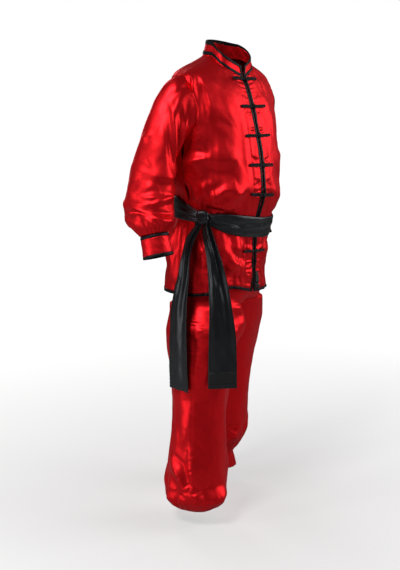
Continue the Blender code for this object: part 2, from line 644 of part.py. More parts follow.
def sleeve_rings(side, steps):
    """Rings of a sleeve at these steps, each from the shoulder line down the front and up the back."""
    outer_x, outer_h, inner_x, inner_h, centre_y, half_depth = interpolate(SLEEVE, steps)
    swing = np.clip(steps / 8, 0, 1) if side > 0 else 0 * steps
    swing = swing**2 * (3 - 2 * swing)
    shift = LEFT_SLEEVE_BACK * swing
    outer_x, inner_x = outer_x - LEFT_SLEEVE_IN * swing, inner_x - LEFT_SLEEVE_IN * swing**3 * 0.5
    loop = armhole(side)
    turn = np.linspace(0, 2 * np.pi, len(loop))
    outer = np.stack((side * outer_x, centre_y + shift, outer_h - NECK_HEIGHT), axis=-1)[:, None]
    inner = np.stack((side * inner_x, centre_y + shift, inner_h - NECK_HEIGHT), axis=-1)[:, None]
    tilt = -CUFF_END[1] / CUFF_DROP * np.clip((steps - 8) / 4, 0, 1)
    front = np.stack((0 * steps, -half_depth, tilt * half_depth), axis=-1)[:, None]
    middle = (outer + inner) / 2
    rings = middle + (outer - middle) * np.cos(turn)[:, None] + front * np.sin(turn)[:, None]
    base = (outer[0] + inner[0]) / 2
    first = base + (outer[0] - base) * np.cos(turn)[:, None] + front[0] * np.sin(turn)[:, None]
    fade = np.clip(1 - steps / 4.0, 0, 1)
    fade = (fade**2 * (3 - 2 * fade))[:, None, None]
    rings = rings + (loop - first) * fade
    degrees = np.degrees(turn)
    degrees = np.where(degrees > 180, degrees - 360, degrees)[None, :]
    rise = fold_height(SLEEVE_FOLDS, degrees, steps[:, None], (0.0012, 0.030))
    (wave,) = interpolate(SLEEVE_GATHER, steps)
    rise = rise * np.clip(steps[:, None] / 2, 0, 1) + wave[:, None] * np.cos(np.arange(len(turn)) * np.pi)
    rings[:, -1] = rings[:, 0]
    outward = -grid_inward(rings, True) * tube_sign(rings)
    return rings + outward * rise[..., None]


def tube_sign(rings):
    """1 where grid_inward points into a tube, and -1 where it points out."""
    middle = rings[:, :-1].mean(axis=1, keepdims=True)
    return np.sign(((middle - rings) * grid_inward(rings, True)).sum())


def make_sleeves():
    """The two sleeves, from the armhole to the gathers at the cuff."""
    steps = np.array((0, 0.7, 1.5, 2.4, 3.3, 4.2, 5.1, 6.0, 6.8, 7.5, 8.1, 8.7, 9.3, 9.9, 10.5, 11.1, 11.6, 12.0))
    for name, side in (("sleeve_right", -1), ("sleeve_left", 1)):
        rings = sleeve_rings(side, steps)
        way = grid_inward(rings, True) * tube_sign(rings)
        way[0] = unit(armhole_centre(side) - rings[0])
        rings = pulled_in(rings, True, False)
        wall(name, rings, rings + way * CLOTH, "red_satin", 0)


def cuff_frame(side):
    """Centre of the sleeve's end and the unit vectors along the arm, to the outside and to the front."""
    end = sleeve_rings(side, np.array((11.0, 12.0)))
    centre = end[1, :-1].mean(axis=0)
    along = unit(np.array((side * CUFF_END[0], CUFF_END[1], -CUFF_DROP)))
    outside = unit(np.cross(np.array((0.0, 1.0, 0.0)), along)) * -side
    front = np.cross(along, outside)
    return centre, along, outside, front


def cuff_ring(side, drop, out=0.0, columns=20):
    """A ring of the cuff, this far along the arm from the sleeve's end."""
    centre, along, outside, front = cuff_frame(side)
    turn = np.linspace(0, 2 * np.pi, columns + 1)[:, None]
    flare = CUFF_FLARE * drop / CUFF_LENGTH
    ring = outside * np.cos(turn) * (0.0400 + flare + out) + front * np.sin(turn) * (0.0425 + flare + out)
    ring[-1] = ring[0]
    return centre + along * drop + ring


def cuff_tube(name, side, low, high, out, thick, material, rows=1):
    """A straight tube of the cuff between two distances along the arm."""
    drops = np.linspace(low, high, rows + 1)
    outer = np.stack([cuff_ring(side, drop, out) for drop in drops])
    inner = np.stack([cuff_ring(side, drop, out - thick) for drop in drops])
    wall(name, outer, inner, material, 0)


def make_cuffs():
    """A cuff for each sleeve, with a black binding where the sleeve is gathered in and one at the wrist."""
    first = 0.0022
    for hand, side in (("right", -1), ("left", 1)):
        top = first + CUFF_TRIM
        end = top + CUFF_LENGTH
        cuff_tube(f"cuff_band_{hand}", side, first, top - SEAM_GAP, 0.0022, TRIM, "black_satin")
        cuff_tube(f"cuff_{hand}", side, top, end, 0.0012, CLOTH, "red_satin", 2)
        cuff_tube(f"cuff_binding_{hand}", side, end + SEAM_GAP, end + CUFF_TRIM, 0.0020, TRIM, "black_satin")


def trouser_frame(heights):
    """Middle line of the trousers and the unit vectors to the wearer's left and back, at these heights."""
    centre_x, centre_y, turn, spread = interpolate(TROUSER_MIDDLE, heights)
    turn = np.radians(turn)
    middle = np.stack((centre_x, centre_y, heights - NECK_HEIGHT), axis=-1)
    left = np.stack((np.cos(turn), np.sin(turn), 0 * turn), axis=-1)
    back = np.stack((-np.sin(turn), np.cos(turn), 0 * turn), axis=-1)
    return middle, left, back, spread


def leg_rings(side, heights, columns=LEG_COLUMNS):
    """Rings of a leg, each from the inner leg round the front, outside and back. Above the crotch they are open."""
    sections = LEFT_LEG if side > 0 else RIGHT_LEG
    half_width, half_depth, gather = interpolate(sections, np.minimum(heights, CROTCH_HEIGHT))
    middle, left, back, spread = trouser_frame(heights)
    share = np.linspace(0, 1, columns + 1)
    turn = 2 * np.pi * share
    rise = fold_height(LEG_FOLDS, np.degrees(turn)[None, :], heights[:, None], (0.0016, 1.0))
    rise = rise * np.clip((CROTCH_HEIGHT - 0.03 - heights[:, None]) / 0.05, 0, 1)
    rise = rise + gather[:, None] * np.cos(np.arange(columns + 1) * np.pi)
    across = spread[:, None] - (half_width[:, None] + rise) * np.cos(turn)
    depth = -(half_depth[:, None] + rise) * np.sin(turn)
    hip_width, hip_front, hip_back = interpolate(JACKET, heights)[:3]
    arc = np.pi * share
    hip_across = (hip_width - WAIST_CLEAR)[:, None] * np.sin(arc)
    hip_depth = np.where(np.cos(arc) > 0, (hip_front - WAIST_CLEAR)[:, None], (hip_back - WAIST_CLEAR)[:, None])
    hip_depth = -hip_depth * np.cos(arc)
    lift = np.clip((heights - SPREAD_HEIGHT) / (HIP_HEIGHT - SPREAD_HEIGHT), 0, 1)
    lift = (lift**2 * (3 - 2 * lift))[:, None]
    lift = lift * np.where(heights[:, None] > CROTCH_HEIGHT, 1.0, np.sin(turn / 2) ** 2)
    across = across * (1 - lift) + hip_across * lift
    depth = depth * (1 - lift) + hip_depth * lift
    across = np.maximum(across, SEAM_GAP / 2)
    seam = heights >= CROTCH_HEIGHT
    across[:, [0, -1]] = np.where(seam[:, None], SEAM_GAP / 2, across[:, [0, -1]])
    closed = heights <= CROTCH_HEIGHT
    depth[closed, -1] = depth[closed, 0]
    return middle[:, None] + left[:, None] * (side * across)[..., None] + back[:, None] * depth[..., None]


def make_trousers():
    """Two legs that meet at the crotch seam, each gathered by elastic at the ankle, and the waistband."""
    upper = np.array((TROUSER_TOP, 0.900, 0.820, 0.765, 0.744, 0.720, CROTCH_HEIGHT))
    lower = {1: (0.665, 0.635, 0.600, 0.560, 0.500, 0.440, 0.380, 0.320, 0.265, 0.220, 0.190, 0.165, 0.148, 0.132, 0.120,
                 0.110, 0.085, 0.060),
             -1: (0.665, 0.635, 0.600, 0.560, 0.500, 0.440, 0.380, 0.320, 0.265, 0.220, 0.180, 0.145, 0.116, 0.095, 0.078,
                  0.064, 0.054, 0.046)}
    for name, side in (("trouser_leg_right", -1), ("trouser_leg_left", 1)):
        heights = np.concatenate((upper, lower[side]))
        rings = leg_rings(side, heights)
        way = leg_inward(rings, side, heights, len(upper) - 1)
        wall(name, rings, rings + way * CLOTH, "red_satin", len(upper) - 1)
    waist = np.array((TROUSER_TOP + WAISTBAND, TROUSER_TOP + 0.001))
    rings = []
    for side in (-1, 1):
        half = leg_rings(side, np.full(2, TROUSER_TOP), 12)
        half[..., 2] = waist[:, None] - NECK_HEIGHT
        rings.append(half)
    ring = np.concatenate((rings[1][:, :-1], rings[0][:, ::-1][:, :-1]), axis=1)
    ring = np.concatenate((ring, ring[:, :1]), axis=1)
    way = grid_inward(ring, True) * tube_sign(ring)
    wall("trouser_waistband", ring + way * -0.0006, ring + way * (TRIM - 0.0006), "red_satin", 0)


def leg_inward(rings, side, heights, crotch_row):
    """Unit vectors into a leg. At the crotch seam they lie in the seam's own plane, so that the legs stay apart."""
    closed = grid_inward(rings, True)
    opened = grid_inward(rings, False)
    way = np.concatenate((opened[:crotch_row], closed[crotch_row:]))
    middle = rings[:, :-1].mean(axis=1, keepdims=True)
    way = way * np.sign(((middle - rings) * way).sum())
    _, left, _, _ = trouser_frame(heights)
    seam = np.concatenate((left[: crotch_row + 1], 0 * left[crotch_row + 1 :]))
    for column in (0, -1):
        along = (way[:, column] * seam).sum(axis=-1, keepdims=True)
        way[:, column] = unit(way[:, column] - along * seam)
    return way


def sash_ring(angle, drop, out):
    """A point of the jacket at the waist, moved out to where the sash lies. drop is below the sash's middle line."""
    return torso(angle, 0.975 - drop) + torso_normal(angle, 0.975 - drop * 0.2) * out[..., None]


def make_sash():
    """The sash: the band round the waist, the knot over the right hip, two tails, and the plain patch on one."""
    columns = 40
    angle = np.linspace(0, 2 * np.pi, columns + 1)[None, :]
    drops = np.array((-0.5, -0.46, -0.2, 0.05, 0.3, 0.46, 0.5))[:, None] * SASH_WRAP_HEIGHT
    pinch = 1 - 0.38 * np.exp(-((np.degrees(angle) - 360 - math.degrees(KNOT_ANGLE)) / 26) ** 2)
    pleat = 0.0022 * np.cos(drops / SASH_WRAP_HEIGHT * 4 * np.pi + 2.0 * np.sin(angle * 2))
    pleat[[0, -1]] -= 0.0016
    out = SASH_STANDOFF + 0.003 + pleat + 0 * angle
    outer = sash_ring(angle + 0 * drops, drops * pinch, out)
    inner = sash_ring(angle + 0 * drops, drops * pinch, out - CLOTH)
    outer[:, -1], inner[:, -1] = outer[:, 0], inner[:, 0]
    wall("sash_wrap", outer, inner, "black_satin", 0)
    make_knot()
    for name, table in (("sash_tail_front", FRONT_TAIL), ("sash_tail_back", BACK_TAIL)):
        drops = np.array([row[0] for row in table])
        drops = np.sort(np.concatenate((drops, (drops[1:] + drops[:-1]) / 2)))
        centre, across, outward, width, fold = tail_frame(table, drops)
        u = np.linspace(-0.5, 0.5, 9)
        rise = fold[:, None] * np.cos(5 * np.pi * u + 0.6)
        grid = centre[:, None] + across[:, None] * (width[:, None] * u)[..., None] + outward[:, None] * rise[..., None]
        way = grid_inward(grid)
        way = way * -np.sign((way * outward[:, None]).sum())
        wall(name, grid, grid + way * CLOTH, "black_satin")
    make_patch()


def tail_frame(table, drops):
    """Centre line of a tail, its unit vectors across and outward, its width and the depth of its folds."""
    x, y, width, fold, facing = interpolate(table, drops)
    facing = np.radians(facing)
    centre = np.stack((x, y, KNOT_HEIGHT - NECK_HEIGHT + 0.0 - drops), axis=-1)
    outward = np.stack((np.sin(facing), -np.cos(facing), 0 * facing), axis=-1)
    across = np.stack((np.cos(facing), np.sin(facing), 0 * facing), axis=-1)
    return centre, across, outward, width, fold


def make_knot():
    """The knot: a rounded lump of cloth with four soft ridges, over the crossing of the sash."""
    middle = torso(KNOT_ANGLE, KNOT_HEIGHT) + torso_normal(KNOT_ANGLE, KNOT_HEIGHT) * KNOT_STANDOFF
    outward = torso_normal(KNOT_ANGLE, KNOT_HEIGHT)
    across = unit(np.cross(outward, np.array((0.0, 0.0, 1.0))))
    up = np.cross(across, outward)
    climb = np.linspace(0.12, np.pi - 0.12, 9)[:, None]
    turn = np.linspace(0, 2 * np.pi, 17)[None, :]
    ridge = 1 + 0.07 * np.cos(4 * turn + 0.8 * np.cos(climb))
    wide, deep, tall = 0.0270 * ridge, 0.0170 * ridge, 0.0280
    swell = np.sin(climb) ** 0.55
    rings = middle + (wide * swell * np.cos(turn))[..., None] * across
    rings = rings + (deep * swell * np.sin(turn))[..., None] * outward
    rings = rings + (tall * np.cos(climb) + 0 * turn)[..., None] * up
    capped_tube("sash_knot", rings, "black_satin")


def make_patch():
    """The woven patch sewn on the end of the front tail, left plain."""
    drops = np.linspace(0.478, 0.520, 3)
    centre, across, outward, width, fold = tail_frame(FRONT_TAIL, drops)
    u = np.linspace(-0.5, 0.5, 9)
    rise = fold[:, None] * np.interp(u * 0.97, u, np.cos(5 * np.pi * u + 0.6)) + 0.0006
    grid = centre[:, None] + across[:, None] * (width[:, None] * u * 0.97)[..., None]
    inner = grid + outward[:, None] * rise[..., None]
    wall("sash_patch", inner + outward[:, None] * 0.0008, inner, "black_satin")


def make_hem_label():
    """The small black label on the left front, beside the edge above the hem, left plain."""
    heights = np.linspace(HEM_HEIGHT + 0.002, HEM_HEIGHT + 0.062, 4)
    offsets = np.linspace(0.0128, 0.0300, 3)
    angle = edge_angle(heights[:, None] + 0 * offsets, offsets + 0 * heights[:, None])
    outer = jacket_point(angle, heights[:, None] + 0 * offsets, 0.0014)
    inner = jacket_point(angle, heights[:, None] + 0 * offsets, 0.0005)
    wall("hem_label", outer, inner, "black_satin")


def main():
    """Builds the uniform in a cleared scene."""
    for obj in list(bpy.data.objects):
        bpy.data.objects.remove(obj, do_unlink=True)
    collection = bpy.data.collections.new("tai_chi_uniform")
    bpy.context.scene.collection.children.link(collection)
    make_jacket_body()
    make_hem_bindings()
    make_collar()
    make_front_bindings()
    make_underlap()
    make_frogs()
    make_sleeves()
    make_cuffs()
    make_trousers()
    make_sash()
    make_hem_label()


main()
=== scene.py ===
"""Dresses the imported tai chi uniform: satin cloth with its folds, bindings, braided frogs, knotted sash and stitching.

The frame is in metres with +Z up. The garment faces -Y, the wearer's right is -X, and heights in the tables are
above the floor that a wearer 1.76 m tall would stand on.
"""

import math

import bpy
import numpy as np
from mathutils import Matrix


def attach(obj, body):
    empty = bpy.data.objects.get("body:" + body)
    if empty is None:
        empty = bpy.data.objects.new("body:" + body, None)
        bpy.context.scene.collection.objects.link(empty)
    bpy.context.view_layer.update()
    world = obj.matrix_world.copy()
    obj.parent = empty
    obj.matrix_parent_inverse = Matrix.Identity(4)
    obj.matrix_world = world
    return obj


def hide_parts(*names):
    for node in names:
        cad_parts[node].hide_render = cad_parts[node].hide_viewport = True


bl_info = {
    "name": "Tai chi uniform",
    "version": (1, 0, 0),
    "blender": (4, 5, 0),
    "location": "View3D > Sidebar > Uniform",
    "description": "Satin jacket, trousers and sash, fitted to the packed solids",
    "category": "Object",
}

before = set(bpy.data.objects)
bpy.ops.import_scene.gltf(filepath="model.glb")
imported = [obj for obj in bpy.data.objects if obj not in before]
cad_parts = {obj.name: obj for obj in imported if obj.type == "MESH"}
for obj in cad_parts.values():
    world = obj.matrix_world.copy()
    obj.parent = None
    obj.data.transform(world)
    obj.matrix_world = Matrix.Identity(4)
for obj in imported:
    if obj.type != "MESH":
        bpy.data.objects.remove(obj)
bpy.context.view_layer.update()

# Heights and sizes shared by the pieces, in metres.
NECK_HEIGHT = 1.460
ARMPIT_HEIGHT = 1.220
SHOULDER_HEIGHT = 1.420
NECK_POINT_HEIGHT = 1.481
NECK_PIT_HEIGHT = 1.412
NECK_BACK_HEIGHT = 1.488
HEM_HEIGHT = 0.738
HEM_TRIM = 0.008
HEM_LIFT = 0.024
HEM_LIFT_ANGLE = -34
HEM_LIFT_WIDTH = 24
BELT_HEIGHT = 0.975
EDGE_GAP = 0.0030
EDGE_TRIM = 0.0090
SQUARE = 2.25
LEAN_BACK = 0.25
LEAN_RIGHT = 0.12
ARMHOLE_FRONT = math.radians(24)
ARMHOLE_BACK = math.radians(24)
COLLAR_HEIGHT = 0.038
COLLAR_RISE = 0.010
COLLAR_TRIM = 0.009
COLLAR_LEAN = 0.14
COLLAR_FORWARD = 0.20
CUFF_TRIM = 0.009
CUFF_LENGTH = 0.050
CUFF_FLARE = 0.003
CUFF_END = (0.0005, -0.019)
CUFF_DROP = 0.068
LEFT_SLEEVE_BACK = 0.112
LEFT_SLEEVE_IN = 0.022
FROG_SPACING = 0.0935
FROG_LENGTH = 0.056
CORD_RADIUS = 0.0026
KNOT_RADIUS = 0.0068
SASH_WRAP_HEIGHT = 0.068
SASH_STANDOFF = 0.0038
KNOT_ANGLE = math.radians(-71)
KNOT_HEIGHT = 0.982
KNOT_STANDOFF = 0.0267
WAIST_CLEAR = 0.014
CROTCH_HEIGHT = 0.690
SPREAD_HEIGHT = 0.600
HIP_HEIGHT = 0.744
TROUSER_TOP = 0.985
WAISTBAND = 0.030
JACKET_BREADTH = 2.2
SLEEVE_BREADTH = 1.65
LEG_BREADTH = 2.1
SEAM_DEPTH = 0.0011
SEAM_REACH = 0.0035

# Sections of the jacket, each a ring round the torso. lean tilts a ring up towards the wearer's back and right.
JACKET = (
    # height, half_width, front, back, centre_x, centre_y, turn, lean
    (0.700, 0.193, 0.147, 0.143, -0.012, 0.015, 8, 0.06),
    (0.738, 0.192, 0.146, 0.142, -0.012, 0.014, 8, 0.08),
    (0.800, 0.189, 0.143, 0.139, -0.012, 0.012, 8, 0.20),
    (0.870, 0.186, 0.140, 0.134, -0.009, 0.007, 7, 0.60),
    (0.922, 0.181, 0.134, 0.127, -0.005, 0.000, 6, 0.95),
    (0.975, 0.177, 0.130, 0.123, 0.000, -0.006, 4, 1.00),
    (1.018, 0.183, 0.140, 0.129, 0.000, -0.009, 3, 0.92),
    (1.062, 0.197, 0.156, 0.137, 0.000, -0.010, 2, 0.65),
    (1.150, 0.203, 0.156, 0.138, 0.000, -0.009, 0, 0.20),
    (1.220, 0.205, 0.145, 0.137, 0.000, -0.007, 0, 0.00),
    (1.300, 0.206, 0.130, 0.134, 0.000, -0.006, 0, 0.00),
    (1.360, 0.207, 0.112, 0.126, 0.000, -0.004, 0, 0.00),
    (1.400, 0.204, 0.095, 0.112, 0.000, -0.003, 0, 0.00),
    (1.420, 0.194, 0.084, 0.101, 0.000, -0.002, 0, 0.00),
    (1.442, 0.156, 0.075, 0.087, 0.000, -0.001, 0, 0.00),
    (1.457, 0.121, 0.067, 0.074, 0.000, 0.000, 0, 0.00),
    (1.470, 0.092, 0.061, 0.063, 0.000, 0.000, 0, 0.00),
    (1.480, 0.072, 0.056, 0.054, 0.000, 0.000, 0, 0.00),
    (1.490, 0.063, 0.053, 0.049, 0.000, 0.000, 0, 0.00),
    (1.505, 0.056, 0.050, 0.046, 0.000, 0.000, 0, 0.00),
)

# Sections of a sleeve: the outer line runs over the shoulder to the cuff and the inner line from the armpit.
SLEEVE = (
    # step, outer_x, outer_height, inner_x, inner_height, centre_y, half_depth
    (0.0, 0.194, 1.420, 0.205, 1.220, 0.000, 0.080),
    (1.0, 0.228, 1.404, 0.211, 1.209, 0.006, 0.076),
    (2.0, 0.256, 1.367, 0.215, 1.194, 0.013, 0.070),
    (3.0, 0.279, 1.316, 0.219, 1.176, 0.019, 0.065),
    (4.0, 0.302, 1.258, 0.222, 1.156, 0.025, 0.063),
    (5.0, 0.322, 1.200, 0.224, 1.133, 0.031, 0.066),
    (6.0, 0.341, 1.142, 0.226, 1.105, 0.034, 0.071),
    (7.0, 0.360, 1.082, 0.230, 1.068, 0.034, 0.074),
    (8.0, 0.377, 1.028, 0.236, 1.026, 0.031, 0.077),
    (9.0, 0.386, 0.992, 0.242, 0.992, 0.021, 0.077),
    (10.0, 0.385, 0.966, 0.252, 0.964, 0.008, 0.068),
    (11.0, 0.373, 0.949, 0.275, 0.946, -0.003, 0.051),
    (12.0, 0.365, 0.937, 0.286, 0.935, -0.009, 0.041),
)
# Distance along a sleeve from the shoulder at each step.
SLEEVE_REACH = ((0, 0.0), (1, 0.037), (2, 0.083), (3, 0.139), (4, 0.201), (5, 0.262), (6, 0.323), (7, 0.386),
                (8, 0.443), (9, 0.480), (10, 0.506), (11, 0.527), (12, 0.541))

# Sections of the trousers. The legs stand apart by spread to each side of a middle line, which turns with the hips.
TROUSER_MIDDLE = (
    # height, centre_x, centre_y, turn, spread
    (0.050, -0.005, 0.049, 28, 0.180),
    (0.220, -0.001, 0.045, 27, 0.172),
    (0.430, 0.008, 0.040, 25, 0.150),
    (0.560, 0.008, 0.030, 24, 0.134),
    (0.640, 0.006, 0.022, 21, 0.120),
    (0.690, 0.000, 0.018, 16, 0.108),
    (0.780, -0.010, 0.012, 9, 0.092),
    (0.990, 0.000, -0.004, 5, 0.085),
)
RIGHT_LEG = (
    # height, half_width, half_depth, gather
    (0.046, 0.056, 0.062, 0.0016),
    (0.056, 0.072, 0.080, 0.0050),
    (0.078, 0.087, 0.095, 0.0048),
    (0.112, 0.092, 0.098, 0.0022),
    (0.170, 0.090, 0.095, 0.0),
    (0.225, 0.086, 0.092, 0.0),
    (0.330, 0.083, 0.087, 0.0),
    (0.430, 0.089, 0.094, 0.0),
    (0.560, 0.104, 0.111, 0.0),
    (0.640, 0.110, 0.123, 0.0),
    (0.690, 0.106, 0.128, 0.0),
)
LEFT_LEG = (
    # height, half_width, half_depth, gather
    (0.058, 0.052, 0.058, 0.0040),
    (0.085, 0.046, 0.051, 0.0030),
    (0.112, 0.041, 0.046, 0.0014),
    (0.132, 0.057, 0.062, 0.0046),
    (0.165, 0.076, 0.080, 0.0034),
    (0.220, 0.085, 0.088, 0.0),
    (0.330, 0.085, 0.089, 0.0),
    (0.430, 0.089, 0.094, 0.0),
    (0.560, 0.103, 0.110, 0.0),
    (0.640, 0.110, 0.122, 0.0),
    (0.690, 0.106, 0.128, 0.0),
)

# Folds. Each is a ridge, or a trough where rise is below 0, along a curve that bows sideways by a share of its length.
JACKET_FOLDS = (
    # angle_1, height_1, angle_2, height_2, bow, width, rise
    (-80, 1.420, -77, 1.260, 0.04, 0.0050, 0.0100),
    (-73, 1.415, -72, 1.240, 0.00, 0.0040, -0.0120),
    (-66, 1.430, -67, 1.245, -0.05, 0.0055, 0.0130),
    (-67, 1.262, -86, 1.170, 0.10, 0.0070, 0.0065),
    (-60, 1.420, -57, 1.270, 0.02, 0.0050, -0.0070),
    (-84, 1.270, -90, 1.150, 0.00, 0.0120, -0.0100),
    (-92, 1.118, -56, 1.160, 0.12, 0.0095, 0.0130),
    (-66, 1.156, -24, 1.182, -0.08, 0.0100, 0.0095),
    (-80, 1.112, -22, 1.128, 0.06, 0.0120, -0.0030),
    (-58, 1.226, -20, 1.200, 0.08, 0.0170, 0.0022),
    (-56, 1.285, -37, 1.338, 0.10, 0.0150, 0.0040),
    (-39, 1.338, -24, 1.252, 0.10, 0.0150, 0.0038),
    (-44, 1.292, -30, 1.262, -0.10, 0.0130, -0.0010),
    (-30, 1.400, -22, 1.310, 0.05, 0.0140, 0.0045),
    (-71, 1.016, -45, 1.090, -0.10, 0.0070, 0.0110),
    (-48, 1.090, -26, 1.078, -0.20, 0.0085, 0.0075),
    (-72, 1.040, -60, 1.096, 0.10, 0.0090, 0.0070),
    (-68, 1.018, -20, 1.100, -0.08, 0.0095, 0.0115),
    (-68, 1.020, -36, 1.078, -0.03, 0.0055, -0.0080),
    (-58, 1.012, -26, 1.044, -0.05, 0.0070, 0.0070),
    (-86, 1.086, -90, 1.008, 0.05, 0.0060, -0.0100),
    (-80, 1.066, -73, 1.010, 0.00, 0.0095, 0.0060),
    (-80, 0.935, -50, 0.830, -0.10, 0.0060, 0.0110),
    (-73, 0.935, -44, 0.846, -0.10, 0.0048, 0.0070),
    (-77, 0.935, -47, 0.838, -0.10, 0.0048, -0.0060),
    (-56, 0.945, -30, 0.800, -0.08, 0.0120, 0.0120),
    (-52, 0.890, -38, 0.780, 0.05, 0.0110, -0.0070),
    (-84, 0.935, -82, 0.770, 0.00, 0.0110, -0.0075),
    (-97, 0.940, -94, 0.760, 0.04, 0.0120, 0.0080),
    (-32, 0.945, -24, 0.860, 0.00, 0.0070, 0.0090),
    (-42, 0.860, -18, 0.785, 0.10, 0.0100, 0.0090),
    (-72, 0.806, -42, 0.778, 0.10, 0.0120, 0.0060),
    (12, 1.380, 24, 1.240, 0.10, 0.0120, 0.0055),
    (28, 1.300, 20, 1.180, -0.10, 0.0120, 0.0060),
    (24, 1.160, 36, 1.060, 0.10, 0.0110, -0.0065),
    (16, 1.120, 42, 1.020, -0.10, 0.0095, 0.0070),
    (76, 1.405, 72, 1.275, 0.05, 0.0085, 0.0080),
    (66, 1.415, 68, 1.260, 0.05, 0.0080, 0.0085),
    (71, 1.390, 70, 1.270, 0.00, 0.0050, -0.0070),
    (88, 1.126, 42, 1.168, -0.12, 0.0100, 0.0095),
    (64, 1.014, 30, 1.094, 0.08, 0.0080, 0.0095),
    (50, 1.012, 40, 1.080, 0.00, 0.0085, -0.0065),
    (72, 0.940, 48, 0.812, 0.10, 0.0080, 0.0085),
    (60, 0.940, 36, 0.840, 0.08, 0.0070, 0.0075),
    (34, 0.940, 22, 0.820, 0.05, 0.0095, 0.0070),
    (84, 0.935, 88, 0.780, 0.00, 0.0115, -0.0065),
    (112, 1.400, 114, 1.240, 0.05, 0.0090, 0.0085),
    (122, 1.390, 120, 1.250, 0.00, 0.0070, -0.0065),
    (152, 1.340, 116, 1.165, 0.10, 0.0125, 0.0080),
    (176, 1.410, 148, 1.290, 0.06, 0.0150, 0.0055),
    (102, 1.150, 152, 1.106, 0.10, 0.0120, 0.0080),
    (110, 1.016, 146, 1.136, 0.05, 0.0100, 0.0100),
    (128, 1.014, 160, 1.106, 0.05, 0.0085, 0.0075),
    (172, 1.014, 164, 1.200, 0.04, 0.0110, 0.0090),
    (184, 1.016, 190, 1.126, 0.00, 0.0090, -0.0070),
    (205, 1.014, 226, 1.156, -0.05, 0.0110, 0.0100),
    (222, 1.014, 250, 1.116, -0.05, 0.0085, 0.0080),
    (212, 1.350, 242, 1.170, -0.10, 0.0125, 0.0080),
    (247, 1.400, 246, 1.240, -0.05, 0.0090, 0.0085),
    (110, 0.940, 122, 0.790, 0.05, 0.0105, 0.0085),
    (128, 0.940, 152, 0.820, 0.05, 0.0095, 0.0075),
    (180, 0.940, 176, 0.770, 0.03, 0.0120, 0.0080),
    (200, 0.940, 206, 0.790, 0.00, 0.0100, -0.0065),
    (240, 0.940, 226, 0.790, -0.05, 0.0105, 0.0085),
    (257, 0.940, 244, 0.820, -0.04, 0.0085, 0.0075),
)
SLEEVE_FOLDS = (
    # angle_1, reach_1, angle_2, reach_2, bow, width, rise
    (30, 0.100, 112, 0.300, -0.08, 0.0080, 0.0075),
    (60, 0.070, 124, 0.275, -0.08, 0.0085, -0.0065),
    (44, 0.030, 52, 0.130, 0.00, 0.0080, 0.0050),
    (24, 0.050, 30, 0.160, 0.05, 0.0070, -0.0040),
    (88, 0.060, 128, 0.200, -0.05, 0.0080, 0.0060),
    (-12, 0.090, 10, 0.260, 0.06, 0.0160, 0.0040),
    (-30, 0.230, 14, 0.215, 0.20, 0.0080, 0.0030),
    (-46, 0.310, 40, 0.340, 0.12, 0.0110, 0.0045),
    (30, 0.345, 128, 0.325, 0.10, 0.0120, 0.0050),
    (20, 0.300, 24, 0.400, 0.05, 0.0140, -0.0035),
    (-40, 0.370, 6, 0.412, 0.16, 0.0075, 0.0050),
    (6, 0.412, 90, 0.400, 0.14, 0.0080, 0.0060),
    (-10, 0.428, 60, 0.426, 0.00, 0.0070, -0.0050),
    (-62, 0.425, 44, 0.474, 0.10, 0.0065, 0.0075),
    (-50, 0.450, 20, 0.490, 0.08, 0.0060, -0.0050),
    (44, 0.452, 126, 0.418, -0.12, 0.0065, 0.0065),
    (40, 0.474, 108, 0.500, 0.12, 0.0055, 0.0065),
    (52, 0.460, 116, 0.470, 0.10, 0.0060, -0.0050),
    (-34, 0.496, 34, 0.468, -0.14, 0.0055, 0.0060),
    (36, 0.478, 62, 0.522, 0.05, 0.0050, 0.0050),
    (-64, 0.470, -20, 0.512, 0.10, 0.0060, 0.0055),
    (-150, 0.400, -66, 0.440, 0.10, 0.0100, 0.0065),
    (-130, 0.440, -70, 0.480, 0.10, 0.0080, 0.0060),
    (-170, 0.450, -110, 0.500, 0.10, 0.0080, 0.0055),
    (-122, 0.080, -84, 0.260, 0.08, 0.0130, 0.0060),
    (-96, 0.060, -60, 0.200, 0.05, 0.0100, -0.0045),
    (-150, 0.260, -80, 0.320, 0.10, 0.0120, 0.0050),
    (178, 0.250, 116, 0.350, 0.10, 0.0110, 0.0065),
    (170, 0.350, 120, 0.420, 0.10, 0.0090, 0.0060),
)
